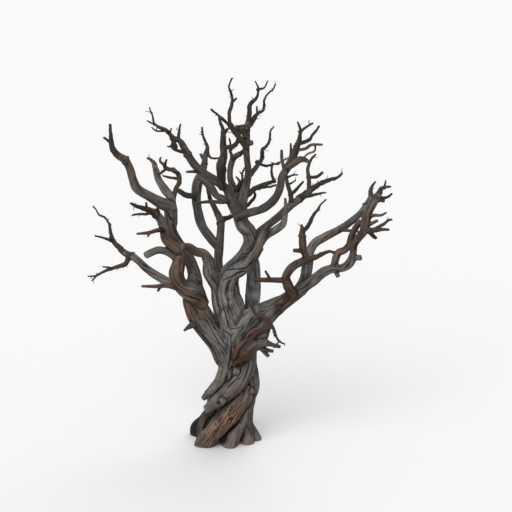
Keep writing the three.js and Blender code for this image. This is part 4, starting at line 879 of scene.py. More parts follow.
def new_object(name, data):
    """A new object in the scene that holds this data."""
    made = bpy.data.objects.new(name, data)
    bpy.context.scene.collection.objects.link(made)
    return made


def mesh_object(name, vertices, faces):
    """A new object with this mesh."""
    mesh = bpy.data.meshes.new(name)
    mesh.from_pydata(vertices, [], faces)
    mesh.update()
    return new_object(name, mesh)


def tube_faces(rings, sides, first):
    """Quads between rings, with a fan at each end that closes on one point."""
    faces = []
    for ring in range(rings - 1):
        low = first + ring * sides
        for k in range(sides):
            after = (k + 1) % sides
            faces.append((low + k, low + after, low + sides + after, low + sides + k))
    foot = first + rings * sides
    tip = foot + 1
    last = first + (rings - 1) * sides
    for k in range(sides):
        after = (k + 1) % sides
        faces.append((first + after, first + k, foot))
        faces.append((last + k, last + after, tip))
    return faces


def lobes(angle, walked, seed, amount):
    """Radius factor of a limb that looks wound from a few strands and is nowhere quite even."""
    turn = angle + TWIST * walked
    waves, shift, noise = LOBES
    spots = np.stack([np.cos(turn) * LOBE_ROUND, np.sin(turn) * LOBE_ROUND,
                      walked * waves + seed * shift], 1)
    waves, shift, swell_noise = SWELLS
    swell = np.stack([walked * waves, np.full_like(walked, seed * shift), walked * 0], 1)
    return 1 + amount * perlin(spots, noise) + SWELL_SHARE * amount * perlin(swell, swell_noise)


def sweep(rings, sides, seed, amount):
    """Vertices of a closed tube round the rings, its two ends slightly domed."""
    angles = np.arange(sides) * 2 * math.pi / sides
    count = len(rings["walked"])
    shape = lobes(np.tile(angles, count), np.repeat(rings["walked"], sides), seed, amount)
    reach = rings["radius"][:, None] * shape.reshape(count, sides)
    spots = (rings["centre"][:, None, :]
             + rings["side"][:, None, :] * (np.cos(angles)[None, :] * reach)[..., None]
             + rings["across"][:, None, :] * (np.sin(angles)[None, :] * reach)[..., None])
    foot = rings["centre"][0] - rings["along"][0] * rings["radius"][0] * END_DOME
    tip = rings["centre"][-1] + rings["along"][-1] * rings["radius"][-1] * END_DOME
    return np.vstack([spots.reshape(-1, 3), foot, tip])


def evaluated(piece):
    """Replaces the piece's mesh by the same mesh with its modifiers applied."""
    graph = bpy.context.evaluated_depsgraph_get()
    mesh = bpy.data.meshes.new_from_object(piece.evaluated_get(graph))
    piece.modifiers.clear()
    old = piece.data
    piece.data = mesh
    bpy.data.meshes.remove(old)


def fused(name, limbs):
    """One closed mesh of all the limbs, by voxels."""
    vertices = []
    faces = []
    count = 0
    for limb in limbs:
        spots = sweep(limb["rings"], TUBE_SIDES, limb["seed"], limb["lobes"])
        faces += tube_faces(len(limb["rings"]["centre"]), TUBE_SIDES, count)
        vertices.append(spots)
        count += len(spots)
    piece = mesh_object(name, np.vstack(vertices), faces)
    remesh = piece.modifiers.new("fuse", "REMESH")
    remesh.mode = "VOXEL"
    remesh.voxel_size = VOXEL
    remesh.use_smooth_shade = True
    evaluated(piece)
    return piece


def read(mesh, kind, name, width):
    """One of the mesh's arrays, with this many numbers for each of its items."""
    collection = getattr(mesh, kind)
    values = np.empty(len(collection) * width, np.float32)
    collection.foreach_get(name, values)
    return values.reshape(-1, width)


def write_places(mesh, places):
    """Moves the mesh's vertices to these places."""
    mesh.vertices.foreach_set("co", places.astype(np.float32).ravel())
    mesh.update()


def neighbour_mean(mesh, places):
    """The mean of the places of each vertex's neighbours."""
    edges = np.empty(len(mesh.edges) * 2, np.int32)
    mesh.edges.foreach_get("vertices", edges)
    a, b = edges.reshape(-1, 2).T
    count = np.bincount(a, minlength=len(places)) + np.bincount(b, minlength=len(places))
    total = np.empty_like(places, float)
    for i in range(3):
        column = places[:, i]
        total[:, i] = (np.bincount(a, column[b], len(column))
                       + np.bincount(b, column[a], len(column)))
    return total / np.maximum(count, 1)[:, None]


# Where a place lies on the limbs

def nearest_rings(spots, centres):
    """The number of the ring centre nearest each spot."""
    nearest = np.empty(len(spots), np.int32)
    for start in range(0, len(spots), BATCH):
        part = spots[start:start + BATCH]
        gap = (centres ** 2).sum(1) - 2 * part @ centres.T
        nearest[start:start + BATCH] = gap.argmin(1)
    return nearest


def off_axis(out, slide, nearest, count):
    """How far places lie off a limb's axis or past its domed ends, and how fast that grows there."""
    beyond = np.where(nearest == 0, np.minimum(slide, 0), 0)
    beyond = np.where(nearest == count - 1, np.maximum(slide, 0), beyond)
    flat = (out ** 2).sum(1)
    distance = np.sqrt(flat + (beyond / END_DOME) ** 2)
    slope = np.sqrt(flat + (beyond / END_DOME ** 2) ** 2) / np.maximum(distance, 1e-6)
    return distance, slope


def near_limb(places, limb):
    """The places near a limb: their numbers, distance, slope, angle, distance walked and radius."""
    rings = limb["rings"]
    margin = rings["radius"].max() + NEAR
    low = rings["centre"].min(0) - margin
    high = rings["centre"].max(0) + margin
    inside = np.flatnonzero(np.all((places > low) & (places < high), axis=1))
    spots = places[inside].astype(np.float32)
    centres = rings["centre"].astype(np.float32)
    nearest = nearest_rings(spots, centres)
    away = spots - centres[nearest]
    along = rings["along"][nearest]
    slide = (away * along).sum(1)
    out = away - along * slide[:, None]
    distance, slope = off_axis(out, slide, nearest, len(centres))
    near = distance - rings["radius"][nearest] < NEAR
    nearest, out = nearest[near], out[near]
    angle = np.arctan2((out * rings["across"][nearest]).sum(1),
                       (out * rings["side"][nearest]).sum(1))
    return {"inside": inside[near], "distance": distance[near], "slope": slope[near],
            "angle": angle, "walked": rings["walked"][nearest] + slide[near],
            "radius": rings["radius"][nearest]}


def round_limb(near, shift):
    """Places as they lie round a straight limb whose grain is unwound, moved along it."""
    turn = near["angle"] + TWIST * near["walked"]
    return np.stack([np.cos(turn) * near["radius"], np.sin(turn) * near["radius"],
                     near["walked"] + shift], 1)


def bark_noise(spots, across, along, shift, seed):
    """Noise with these waves across and along the grain."""
    return perlin(spots * (across, across, along) + shift, seed)


def relief(near, seed):
    """Height of the bark in metres, and how deep a place lies in a crack or line, from 0 to 1."""
    radius = near["radius"]
    spots = round_limb(near, seed * BARK_SHIFT)
    ribs, grain, finest, cracks, cracked = (
        bark_noise(spots, *noise) for noise in (RIBS, GRAIN, FINEST, CRACKS, CRACKED))
    crack = np.exp(-(cracks / CRACK_WIDTH) ** 2)
    crack *= np.clip(cracked * CRACKED_GAIN + CRACKED_BASE, 0, 1)
    height = np.clip(RIB_SHARE * radius, 0, RIB_MOST) * ribs
    fine = grain + FINEST_SHARE * finest
    height += np.clip(GRAIN_SHARE * radius, GRAIN_LEAST, GRAIN_MOST) * fine
    height -= np.clip(CRACK_SHARE * radius, 0, CRACK_MOST) * crack
    # How deep a place lies in the grain's low lines, which the colour darkens: partly the grain's own dark
    # lines, partly painted shade in their grooves
    lines = np.clip(-(grain + LINE_FINEST * finest) * LINE_GAIN, 0, 1)
    return height, crack, lines


def near_limbs(places, limbs, rough):
    """For each limb, the places near it and how far they clear its surface or its bark."""
    nears = []
    for number, limb in enumerate(limbs):
        near = near_limb(places, limb)
        shape = lobes(near["angle"], near["walked"], limb["seed"], limb["lobes"])
        near["clear"] = (near["distance"] - near["radius"] * shape) / near["slope"]
        near["limb"] = number
        near["join"] = limb["join"]
        if rough:
            height, near["crack"], near["lines"] = relief(near, limb["seed"])
            near["clear"] -= height
            near["warm"], near["light"] = limb["look"]
        nears.append(near)
    return nears


def first_limbs(nears, count):
    """For each place, the limb that it is nearest to, how far it clears it, its radius and join."""
    first = {"limb": np.full(count, -1), "clear": np.full(count, FAR), "radius": np.ones(count),
             "join": np.zeros(count)}
    for near in nears:
        closer = near["clear"] < first["clear"][near["inside"]]
        spots = near["inside"][closer]
        first["clear"][spots] = near["clear"][closer]
        first["radius"][spots] = near["radius"][closer]
        first["limb"][spots] = near["limb"]
        first["join"][spots] = near["join"]
    return first


def filleted(nears, first):
    """Distance from the limbs' surface with fillets where they join, and from the next limb's."""
    joined = first["clear"].copy()
    seam = np.ones(len(joined))
    for near in nears:
        other = first["limb"][near["inside"]] != near["limb"]
        spots = near["inside"][other]
        gap = near["clear"][other] - first["clear"][spots]
        thin = np.minimum(first["radius"][spots], near["radius"][other])
        share = np.minimum(first["join"][spots], near["join"])
        width = np.clip(share * thin, FILLET_LEAST, FILLET_MOST)
        closeness = np.clip(1 - gap / width, 0, 1)
        fillet = first["clear"][spots] - closeness ** 2 * width / 4
        joined[spots] = np.minimum(joined[spots], fillet)
        seam[spots] = np.minimum(seam[spots], gap)
    return joined, seam


def softly(places, spot, size):
    """How near the places are to a spot: 1 there, and nothing a few sizes off."""
    return np.exp(-((places - spot) ** 2).sum(1) / size ** 2)


def seen(spots):
    """Spots in a frame where a distance front to back, along the photo's view, counts less."""
    spots = np.asarray(spots, float)
    lifted = spots[:, 2] + math.tan(math.radians(CAMERA_DOWN)) * spots[:, 1]
    return np.column_stack([spots[:, 0], GROOVE_VIEW * spots[:, 1], lifted])


def grooves(places):
    """How deep each place lies in the long grooves, in metres."""
    places = seen(places)
    deepest = np.zeros(len(places))
    for width, depth, corners in GROOVES.values():
        curve, _ = spline(corners, [GROOVE_STEPS] * (len(corners) - 1))
        route = seen(curve)
        fades = GROOVE_FADE * np.minimum(np.arange(len(route)), np.arange(len(route))[::-1])
        for start, end, fade in zip(route[:-1], route[1:], fades):
            low = np.minimum(start, end) - GROOVE_REACH * width
            high = np.maximum(start, end) + GROOVE_REACH * width
            inside = np.flatnonzero(np.all((places > low) & (places < high), axis=1))
            spots = places[inside] - start
            along = end - start
            share = np.clip(spots @ along / along.dot(along), 0, 1)
            away = ((spots - share[:, None] * along) ** 2).sum(1)
            pit = depth * min(1, GROOVE_END + fade) * np.exp(-away / width ** 2)
            deepest[inside] = np.maximum(deepest[inside], pit)
    return deepest


def sink(joined, places):
    """Sinks the joined surface into its hollows and grooves, and tells how dark their painted shade is."""
    pit_shade = np.zeros(len(places))
    for x, y, z, size, depth in DENTS:
        pit = softly(places, (x, y, z), size)
        joined += depth * pit
        pit_shade = np.maximum(pit_shade, pit)
    deep = grooves(places)
    joined += deep
    return np.maximum(pit_shade, np.clip(deep / GROOVE_FULL_SHADE, 0, 1))


def blended(nears, name, count):
    """A value of the limbs' bark at each place, where limbs meet blended between them."""
    weights = np.zeros(count)
    total = np.zeros(count)
    for near in nears:
        weight = np.exp(-np.clip(near["clear"], -DRAW_MOST, 1) / BLEND)
        weights[near["inside"]] += weight
        total[near["inside"]] += weight * near[name]
    return total / np.maximum(weights, 1e-9)


# Bark meshes

def dress(piece, limbs):
    """Draws the voxel mesh onto the joined surface of the limbs, then onto its bark."""
    mesh = piece.data
    places = read(mesh, "vertices", "co", 3).astype(float)
    for rough in (False, False, True, True):
        if not rough:
            for _ in range(2):
                mean = neighbour_mean(mesh, places)
                places = (1 - SMOOTH_SHARE) * places + SMOOTH_SHARE * mean
            write_places(mesh, places)
        normals = read(mesh, "vertex_normals", "vector", 3)
        nears = near_limbs(places, limbs, rough)
        miss, _ = filleted(nears, first_limbs(nears, len(places)))
        sink(miss, places)
        places -= normals * np.clip(miss, -DRAW_MOST, DRAW_MOST)[:, None]
        write_places(mesh, places)


def cut_level(piece):
    """Cuts the roots off flat at ground level."""
    work = bmesh.new()
    work.from_mesh(piece.data)
    everything = work.verts[:] + work.edges[:] + work.faces[:]
    bmesh.ops.bisect_plane(work, geom=everything, plane_co=(0, 0, 0), plane_no=(0, 0, -1),
                           clear_outer=True)
    rim = [edge for edge in work.edges if edge.is_boundary]
    bmesh.ops.holes_fill(work, edges=rim, sides=0)
    bmesh.ops.triangulate(work, faces=[face for face in work.faces if len(face.verts) > 4])
    work.to_mesh(piece.data)
    work.free()


def lighten(piece):
    """Fewer triangles, under the limit for one piece, and none that reaches below the ground."""
    count = sum(len(polygon.vertices) - 2 for polygon in piece.data.polygons)
    if count > MOST_TRIANGLES:
        collapse = piece.modifiers.new("collapse", "DECIMATE")
        collapse.ratio = MOST_TRIANGLES / count
        evaluated(piece)
    places = read(piece.data, "vertices", "co", 3)
    places[:, 2] = np.maximum(places[:, 2], 0.0)
    piece.data.vertices.foreach_set("co", places.ravel())


def set_values(mesh, name, kind, values):
    """Puts a value on each of the mesh's vertices, for the shader."""
    attribute = mesh.attributes.new(name, kind, "POINT")
    key = "vector" if kind == "FLOAT_VECTOR" else "value"
    attribute.data.foreach_set(key, np.asarray(values, np.float32).ravel())


def grain_and_size(nears, first, limbs):
    """Where each place lies in the grain of its own limb, and that limb's radius there."""
    grain = np.zeros((len(first["limb"]), 3))
    size = np.zeros(len(grain))
    for near in nears:
        own = first["limb"][near["inside"]] == near["limb"]
        spots = near["inside"][own]
        shift = limbs[near["limb"]]["seed"] * GRAIN_SHIFT
        grain[spots] = round_limb(near, shift)[own]
        size[spots] = near["radius"][own]
    return grain, size


def bend_of(mesh, places, normals):
    """How far the surface bends up round each vertex, in metres."""
    mean = places
    for _ in range(3):
        mean = neighbour_mean(mesh, mean)
    return ((mean - places) * normals).sum(1)


def colour_values(piece, limbs):
    """Values on the mesh for the colours: grain, painted shade in hollows, grain lines with painted shade
    in their grooves, painted highlight on ridges, tone, lightness that is partly painted shade and light,
    and age.
    """
    mesh = piece.data
    places = read(mesh, "vertices", "co", 3).astype(float)
    count = len(places)
    nears = near_limbs(places, limbs, True)
    first = first_limbs(nears, count)
    joined, seam = filleted(nears, first)
    crack = np.maximum(blended(nears, "crack", count), sink(joined, places))
    grain, size = grain_and_size(nears, first, limbs)
    bend = bend_of(mesh, places, read(mesh, "vertex_normals", "vector", 3))
    crease = np.exp(-np.clip(seam, 0, 1) / SEAM_WIDTH)
    # Painted shade: darker in cracks, dents and grooves, in the seams where limbs meet and in the ground of
    # dips
    hollow_shade = CRACK_SHADE * crack + SEAM_SHADE * crease + bend * DIP_SHADE
    warm = blended(nears, "warm", count)
    light = blended(nears, "light", count)
    # The lightness added here is partly the wood's own tone and partly painted shade and light
    for x, y, z, reach, warmer, lighter in TINTS_AND_SHADES:
        near = softly(places, (x, y, z), reach)
        warm += warmer * near
        light += lighter * near
    checks = np.zeros(count)
    for x, y, z, reach, amount in CHECKS:
        checks += amount * softly(places, (x, y, z), reach)
    young = (YOUNG_FROM - size) / (YOUNG_FROM - YOUNG_TO)
    set_values(mesh, "grain", "FLOAT_VECTOR", grain)
    set_values(mesh, "hollow_shade", "FLOAT", np.clip(hollow_shade, 0, 1))
    set_values(mesh, "lines", "FLOAT", blended(nears, "lines", count))
    # Painted highlight: lighter where the surface bends up into a ridge
    set_values(mesh, "ridge_highlight", "FLOAT", np.clip(-bend * RIDGE_HIGHLIGHT, 0, 1))
    set_values(mesh, "tone", "FLOAT", np.clip(warm, -1, 1))
    set_values(mesh, "lightness_and_shade", "FLOAT", np.clip(1 + light, 0, 2))
    set_values(mesh, "young", "FLOAT", np.clip(young, 0, 1))
    set_values(mesh, "checks", "FLOAT", np.clip(checks, 0, 1))
    mesh.shade_smooth()


# Limbs

def buried(route):
    """A strand's route with both its ends led on down into the wood behind it."""
    ends = []
    for near, far in ((route[0], route[1]), (route[-1], route[-2])):
        end = [a + FLOW_LEAD * (a - b) for a, b in zip(near, far)]
        end[1] = near[1] + FLOW_SINK
        end[3] = FLOW_THIN * near[3]
        ends.append(end)
    return [ends[0], *route, ends[1]]


def limb_of(route, seed, look, amount, join):
    """A limb: its rings with the radius evened out, its seed and look, and how it joins others."""
    rings = rings_along(route, step=RING_STEP)
    padded = np.pad(rings["radius"], EVEN_OUT // 2, mode="edge")
    rings["radius"] = np.convolve(padded, np.full(EVEN_OUT, 1 / EVEN_OUT), "valid")
    return {"rings": rings, "seed": seed, "look": look, "lobes": amount, "join": join}


def sleeved(route):
    """The route carried on along the twig that grows from the limb's tip."""
    tip = np.array(route[-1][:3])
    nearest = None
    for twigs in MASSES.values():
        for thick, thin, places in twigs:
            gap = np.linalg.norm(np.array(places[0]) - tip)
            if gap < SLEEVE_REACH and (nearest is None or gap < nearest[0]):
                nearest = (gap, thick, thin, places)
    if nearest is None:
        return route
    _, thick, thin, places = nearest
    along = TWIG_SWELL * np.linspace(thick, thin, len(places))
    return route[:-1] + [[*place, radius + SLEEVE_OVER * (1 - i)]
                         for i, (place, radius) in enumerate(zip(places[:2], along))]


def trunk_limbs():
    """The trunk's ropes and roots, the strands that lie on them, and its knob."""
    buried_flows = {name: buried(route) for name, route in FLOWS.items()}
    made = []
    for routes, seed, amount, join in (
            (TRUNK_STRANDS, ROPE_SEED, ROPE_LOBES, ROPE_JOIN),
            (buried_flows, FLOW_SEED, FLOW_LOBES, FLOW_JOIN),
            (BACK_FLOWS, BACK_FLOW_SEED, FLOW_LOBES, FLOW_JOIN),
            (KNOBS, KNOB_SEED, FLOW_LOBES, BOUGH_JOIN)):
        for number, (name, route) in enumerate(routes.items()):
            made.append(limb_of(route, seed + number, LOOKS.get(name, PLAIN), amount, join))
    return made


def bough_limbs(names):
    """The named boughs with their spurs."""
    made = []
    for name in names:
        route, spurs = LIMBS[name]
        seed = BOUGH_SEED + BOUGH_SEEDS * list(LIMBS).index(name)
        look = LOOKS.get(name, PLAIN)
        whole = FEET.get(name, []) + sleeved(route)
        made.append(limb_of(whole, seed, look, BOUGH_LOBES, BOUGH_JOIN))
        for number, spur in enumerate(spurs):
            made.append(limb_of(spur, seed + 1 + number, look, FLOW_LOBES, BOUGH_JOIN))
    return made


def bark_piece(name, names):
    """One piece of bark from the named boughs, with the trunk where it is the trunk's piece."""
    with_trunk = name == "trunk_and_boughs"
    limbs = bough_limbs(names)
    if with_trunk:
        limbs = trunk_limbs() + limbs
    piece = fused(name, limbs)
    dress(piece, limbs)
    if with_trunk:
        cut_level(piece)
    lighten(piece)
    colour_values(piece, limbs)
    nodes = [node for limb in names for node in NODES.get(limb, [limb])]
    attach(piece, "root")
    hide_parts(*(nodes + ["trunk"] * with_trunk))
    return piece


# Twigs

def seeded(seed):
    """The part's own repeatable source of numbers from 0 to 1."""
    state = seed
    while True:
        state = (state * 1664525 + 1013904223) % 4294967296
        yield state / 4294967296


def unit(arrow):
    """The arrow, at length 1."""
    return arrow / np.linalg.norm(arrow)


def between(limits, share):
    """The value this share of the way from the first limit to the second."""
    return limits[0] + (limits[1] - limits[0]) * share


def tapered(twig):
    """A twig's route with its radius at each point, its foot set back into what carries it."""
    thick, thin, route = twig
    places = np.asarray(route, float)
    radius = TWIG_SWELL * np.linspace(thick, thin, len(places))
    places[0] += unit(places[0] - places[1]) * TWIG_ROOT
    return np.column_stack([places, radius])


def shoots_of(twig, random):
    """Side shoots at even distances along a twig, turned to the front and back in turn."""
    rings = rings_along(tapered(twig), per_span=RULE_RINGS)
    shoots = []
    walked = 0.0
    turn = -1 if next(random) < 0.5 else 1
    for i in range(1, len(rings["centre"]) - 1):
        walked += np.linalg.norm(rings["centre"][i] - rings["centre"][i - 1])
        if walked < SHOOT_PITCH:
            continue
        walked = 0.0
        centre, along, radius = rings["centre"][i], rings["along"][i], rings["radius"][i]
        length = between(SHOOT_LENGTH, next(random))
        lean = between(SHOOT_LEAN, next(random))
        way = unit(np.array([0, turn * SHOOT_SPREAD, 0]) + along * lean)
        bend = centre + way * length * SHOOT_BEND
        way = unit(way + along * next(random) * SHOOT_LEAN[1])
        tip = bend + way * length * (1 - SHOOT_BEND)
        shoots.append((max(radius * SHOOT_TAKE, SHOOT_THIN), SHOOT_THIN, [centre, bend, tip]))
        turn = -turn
    return shoots


def limb_rings():
    """Centres and radii along every limb, to keep shoots clear of them."""
    routes = list(TRUNK_STRANDS.values()) + [route for route, _ in LIMBS.values()]
    rings = [rings_along(route, per_span=RULE_RINGS) for route in routes]
    return (np.vstack([ring["centre"] for ring in rings]),
            np.concatenate([ring["radius"] for ring in rings]))


def shoot_fits(shoot, low, high, limbs):
    """Whether a shoot stays in its mass's space and clear of every limb."""
    centres, radii = limbs
    for spot in shoot[2][1:]:
        if np.any(spot < low) or np.any(spot > high):
            return False
        if np.any(np.linalg.norm(centres - spot, axis=1) <= radii + SHOOT_CLEAR):
            return False
    return True


def all_twigs(twigs, seed, limbs):
    """The mass's twigs with the side shoots that the part has."""
    random = seeded(seed)
    corners = np.vstack([np.asarray(route, float) for _, _, route in twigs])
    low = corners.min(0) - SPACE_MARGIN
    high = corners.max(0) + SPACE_MARGIN
    shoots = [shoot for twig in twigs for shoot in shoots_of(twig, random)]
    return list(twigs) + [shoot for shoot in shoots if shoot_fits(shoot, low, high, limbs)]


def fine_twig(rings, i, random):
    """A short twig with one bend that grows from ring i."""
    along, radius = rings["along"][i], rings["radius"][i]
    angle = random.random() * 2 * math.pi
    out = rings["side"][i] * math.cos(angle) + rings["across"][i] * math.sin(angle)
    out[1] *= FINE_SPREAD
    length = between(FINE_LENGTH, random.random() ** 2)
    way = unit(unit(out) + along * between(FINE_LEAN, random.random()))
    start = rings["centre"][i] + way * radius * FINE_SINK
    bend = start + way * length * 0.5
    way = unit(way + random.normal(size=3) * FINE_STRAY + (0, 0, FINE_RISE))
    return min(FINE_THICK, radius * FINE_TAKE), FINE_THIN, [start, bend, bend + way * length * 0.5]


def fine_twigs(twigs, seed):
    """Short finer twigs off every twig, turned mostly to its front and back."""
    random = np.random.default_rng(seed)
    fine = []
    for twig in twigs:
        rings = rings_along(tapered(twig), per_span=FINE_RINGS)
        walked = rings["walked"]
        place = FINE_START + random.random() * FINE_PITCH
        while place < walked[-1] - FINE_END:
            fine.append(fine_twig(rings, int(np.searchsorted(walked, place)), random))
            place += FINE_PITCH * between(FINE_GAPS, random.random())
    return fine


def crooked(rings, seed):
    """Lets a twig's rings sway and swell a little, with a collar at its foot."""
    walked = rings["walked"]
    shift = np.full_like(walked, seed * TWIG_SHIFT)
    spots = np.stack([walked * TWIG_WAVES, shift, walked * 0], 1)
    sway = np.stack([perlin(spots, noise) for noise in SWAY_NOISES], 1)
    fade = np.clip(walked / SWAY_FROM, 0, 1)[:, None]
    rings["centre"] = rings["centre"] + sway * fade * TWIG_SWAY
    knots = perlin(spots * (KNOT_WAVES, 1, 1), KNOT_NOISE)
    collar = 1 + COLLAR_SWELL * np.exp(-(walked / COLLAR_LENGTH) ** 2)
    rings["radius"] = rings["radius"] * (1 + KNOT_SWELL * knots) * collar


class Bundle:
    """Many twigs joined in one mesh."""

    def __init__(self):
        self.vertices = []
        self.faces = []
        self.finish = []
        self.grain = []
        self.count = 0

    def add(self, route, seed, finish):
        """Adds a twig with one of the finishes."""
        thick = route[:, 3].max()
        sides = TWIG_SIDES["stout" if thick > STOUT else "middle" if thick > SLIM else "slim"]
        rings = rings_along(route, step=TWIG_STEP if thick > SLIM else SLIM_STEP)
        crooked(rings, seed)
        places = sweep(rings, sides, seed, TWIG_LOBES)
        faces = tube_faces(len(rings["walked"]), sides, self.count)
        self.faces += faces
        self.finish += [finish] * len(faces)
        self.vertices.append(places)
        self.count += len(places)
        self.add_grain(rings, sides, seed)

    def add_grain(self, rings, sides, seed):
        """Where the vertices of a twig lie in its grain."""
        angle = np.tile(np.arange(sides) * 2 * math.pi / sides, len(rings["walked"]))
        radius = np.repeat(rings["radius"], sides)
        along = np.repeat(rings["walked"], sides)
        grain = np.column_stack([np.cos(angle) * radius, np.sin(angle) * radius, along + seed])
        self.grain.append(np.vstack([grain, grain[0], grain[-1]]))

    def piece(self, name, nodes, finishes):
        """The bundle as a piece that replaces these nodes."""
        piece = mesh_object(name, np.vstack(self.vertices), self.faces)
        set_values(piece.data, "grain", "FLOAT_VECTOR", np.vstack(self.grain))
        for finish in finishes:
            piece.data.materials.append(finish)
        piece.data.polygons.foreach_set("material_index", self.finish)
        piece.data.shade_smooth()
        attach(piece, "root")
        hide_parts(*nodes)


def twig_pieces(finishes):
    """All twigs, in bundles of neighbouring masses."""
    limbs = limb_rings()
    seeds = {name: TWIG_SEED + i for i, name in enumerate(MASSES)}
    for piece_name, masses in BUNDLES.items():
        bundle = Bundle()
        for mass in masses:
            seed = seeds[mass]
            deal = np.random.default_rng(seed)
            twigs = all_twigs(MASSES[mass], seed, limbs)
            foot, tip = SLIM_MASSES.get(mass, (1.0, 1.0))
            twigs = [(thick * foot, thin * tip, route) for thick, thin, route in twigs]
            twigs += EXTRA_TWIGS.get(mass, [])
            for number, twig in enumerate(twigs + fine_twigs(twigs, seed)):
                warm = mass in WARM_MASSES
                finish = WARM_TWIG if warm else int(deal.random() < DARK_SHARE)
                bundle.add(tapered(twig), seed + number * TWIG_SEED_STEP, finish)
        bundle.piece(piece_name, masses, finishes)


# Materials

class Nodes:
    """Short calls for a material's nodes."""

    def __init__(self, name):
        self.material = bpy.data.materials.new(name)
        self.material.use_nodes = True
        self.tree = self.material.node_tree
        self.shader = self.tree.nodes["Principled BSDF"]

    def add(self, kind, **values):
        """A new node with these settings."""
        node = self.tree.nodes.new(kind)
        for key, value in values.items():
            setattr(node, key, value)
        return node

    def link(self, a, b):
        """Links an output to an input."""
        self.tree.links.new(a, b)

    def value(self, name):
        """A value that lies on the mesh."""
        return self.add("ShaderNodeAttribute", attribute_name=name).outputs["Fac"]

    def grain(self):
        """Where the mesh lies in the grain."""
        return self.add("ShaderNodeAttribute", attribute_name="grain").outputs["Vector"]

    def math(self, operation, a, b, clamp=False):
        """The sum, product or the like of two values or numbers."""
        node = self.add("ShaderNodeMath", operation=operation, use_clamp=clamp)
        for socket, value in zip(node.inputs, (a, b)):
            if isinstance(value, (int, float)):
                socket.default_value = value
            else:
                self.link(value, socket)
        return node.outputs[0]

    def sum(self, values, shares, base):
        """The sum of a base and of the named values, each times its share."""
        total = 0.0
        for name, share in shares.items():
            total = self.math("ADD", self.math("MULTIPLY", values[name], share), total)
        return self.math("ADD", base, total)

    def noise(self, vector, scale, detail, stretch, rough):
        """Noise from 0 to 1, drawn out along the grain where stretch is less than 1."""
        mapping = self.add("ShaderNodeMapping")
        mapping.inputs["Scale"].default_value = (1, 1, stretch)
        self.link(vector, mapping.inputs["Vector"])
        node = self.add("ShaderNodeTexNoise")
        node.inputs["Scale"].default_value = scale
        node.inputs["Detail"].default_value = detail
        node.inputs["Roughness"].default_value = rough
        self.link(mapping.outputs[0], node.inputs["Vector"])
        return node.outputs["Fac"]

    def ramp(self, value, stops):
        """The colour that the stops give a value."""
        node = self.add("ShaderNodeValToRGB")
        ramp = node.color_ramp
        while len(ramp.elements) < len(stops):
            ramp.elements.new(0.5)
        for element, (place, colour) in zip(ramp.elements, stops):
            element.position = place
            element.color = (*colour, 1)
        self.link(value, node.inputs["Fac"])
        return node.outputs["Color"]

    def mix(self, factor, a, b, blend="MIX"):
        """Two colours mixed by a factor."""
        node = self.add("ShaderNodeMix", data_type="RGBA", blend_type=blend)
        for socket, value in zip((node.inputs[0], node.inputs[6], node.inputs[7]), (factor, a, b)):
            if isinstance(value, tuple):
                socket.default_value = (*value, 1)
            else:
                self.link(value, socket)
        return node.outputs[2]

    def finish(self, base, values, height, distance):
        """The material with this colour, rough in streaks, with its height shaded as bumps."""
        self.link(base, self.shader.inputs["Base Color"])
        self.link(self.sum(values, *ROUGHNESS), self.shader.inputs["Roughness"])
        self.shader.inputs["Specular IOR Level"].default_value = SPECULAR
        bump = self.add("ShaderNodeBump")
        bump.inputs["Strength"].default_value = BUMP
        bump.inputs["Distance"].default_value = distance
        self.link(self.sum(values, *height), bump.inputs["Height"])
        self.link(bump.outputs[0], self.shader.inputs["Normal"])
        return self.material


def wood_colour(nodes, values):
    """Wood's colour outside cracks: light or dark, with a painted highlight on ridges and painted shade in
    grain lines and on limbs in shade, warm or cool, and younger on thin limbs.
    """
    shade = nodes.sum(values, *WOOD_WARMTH)
    warmth = nodes.math("MULTIPLY", shade, 1.0, clamp=True)
    coolth = nodes.math("MULTIPLY", shade, -1.0, clamp=True)
    base = nodes.ramp(nodes.sum(values, *WOOD_LIGHT), WOOD_RAMP)
    base = nodes.mix(warmth, base, WARM_TINT, "MULTIPLY")
    base = nodes.mix(coolth, base, COOL_TINT, "MULTIPLY")
    base = nodes.mix(values["young"], base, YOUNG_TINT, "MULTIPLY")
    # Scales the colour by a lightness that is partly the wood's own tone and partly painted shade and light
    lightness_and_shade = nodes.add("ShaderNodeVectorMath", operation="SCALE")
    nodes.link(base, lightness_and_shade.inputs[0])
    nodes.link(values["lightness_and_shade"], lightness_and_shade.inputs["Scale"])
    return lightness_and_shade.outputs[0]


def weathered_wood():
    """Grey-brown wood with fibres and streaks along its grain, painted shade in its cracks, seams and dips,
    and short dark splits.
    """
    nodes = Nodes("weathered_wood")
    grain = nodes.grain()
    place = nodes.add("ShaderNodeTexCoord").outputs["Object"]
    values = {name: nodes.value(name)
              for name in ("hollow_shade", "lines", "ridge_highlight", "tone", "young", "lightness_and_shade", "checks")}
    values["fibre"] = nodes.noise(grain, *WOOD_FIBRE)
    values["streak"] = nodes.noise(grain, *WOOD_STREAK)
    values["ticks"] = nodes.noise(grain, *WOOD_TICKS)
    values["patch"] = nodes.noise(place, *WOOD_PATCH)
    values["drift"] = nodes.noise(place, *WOOD_DRIFT)
    splits = nodes.math("MULTIPLY", nodes.sum(values, *WOOD_SPLITS), values["checks"], clamp=True)
    values["splits"] = splits
    base = wood_colour(nodes, values)
    # Painted shade darkens the cracks, seams and dips; the splits are the wood's own dark marks
    for name, cover in (("hollow_shade", SHADE_COVER), ("splits", CHECK_COVER)):
        base = nodes.mix(nodes.math("MULTIPLY", values[name], cover), base, CRACK_AND_SHADE_COLOUR)
    return nodes.finish(base, values, WOOD_HEIGHT, WOOD_BUMP)


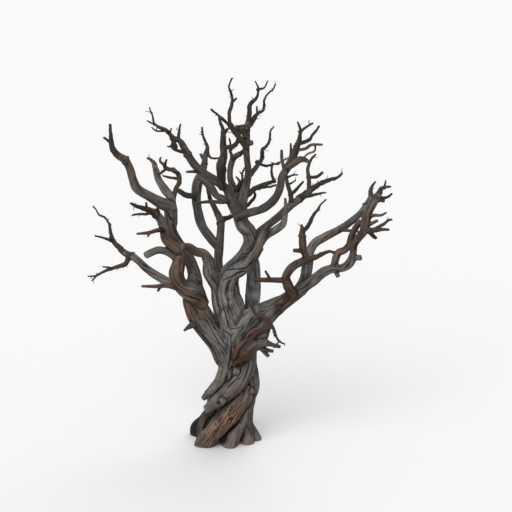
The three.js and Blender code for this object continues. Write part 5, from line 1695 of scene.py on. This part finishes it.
def twig_bark(name, colour):
    """Thin bark of this colour, with darker and lighter streaks."""
    nodes = Nodes(name)
    grain = nodes.grain()
    values = {"fibre": nodes.noise(grain, *TWIG_FIBRE), "streak": nodes.noise(grain, *TWIG_STREAK)}
    stops = [(place, [share * part for part in colour]) for place, share in TWIG_RAMP]
    base = nodes.ramp(nodes.sum(values, *TWIG_LIGHT), stops)
    return nodes.finish(base, values, TWIG_HEIGHT, TWIG_BUMP)


# Stage

def camera():
    """The camera at the place from which the photograph was taken."""
    data = bpy.data.cameras.new("camera")
    data.lens = LENS
    data.sensor_width = SENSOR
    data.clip_end = FAR_CLIP
    made = new_object("camera", data)
    made.location = CAMERA_PLACE
    made.rotation_euler = (math.radians(90 - CAMERA_DOWN), 0, 0)
    bpy.context.scene.camera = made


def floor():
    """A plain floor that reaches past the view's horizon."""
    corners = [(-1, -1), (1, -1), (1, 1), (-1, 1)]
    corners = [(FLOOR_REACH * x, FLOOR_REACH * y, 0) for x, y in corners]
    made = mesh_object("floor", corners, [(0, 1, 2, 3)])
    nodes = Nodes("floor")
    nodes.shader.inputs["Base Color"].default_value = (*FLOOR_COLOUR, 1)
    nodes.shader.inputs["Roughness"].default_value = 1.0
    nodes.shader.inputs["Specular IOR Level"].default_value = 0.0
    made.data.materials.append(nodes.material)
    made.location.z = -FLOOR_DROP


def lights():
    """A white studio all round, and wide soft suns."""
    world = bpy.data.worlds.new("studio")
    world.use_nodes = True
    background = world.node_tree.nodes["Background"]
    background.inputs["Color"].default_value = (1, 1, 1, 1)
    background.inputs["Strength"].default_value = WORLD_STRENGTH
    bpy.context.scene.world = world
    for name, tilt, turn, strength, angle in SUNS:
        data = bpy.data.lights.new(name, "SUN")
        data.energy = strength
        data.angle = math.radians(angle)
        made = new_object(name, data)
        made.rotation_euler = (math.radians(tilt), 0, math.radians(turn))


# The tree

camera()
lights()
floor()
bpy.context.scene.view_settings.view_transform = "Standard"
wood = weathered_wood()
for piece_name, limb_names in PIECES.items():
    bark_piece(piece_name, limb_names).data.materials.append(wood)
twig_pieces([twig_bark(name, colour) for name, colour in TWIG_COLOURS.items()])
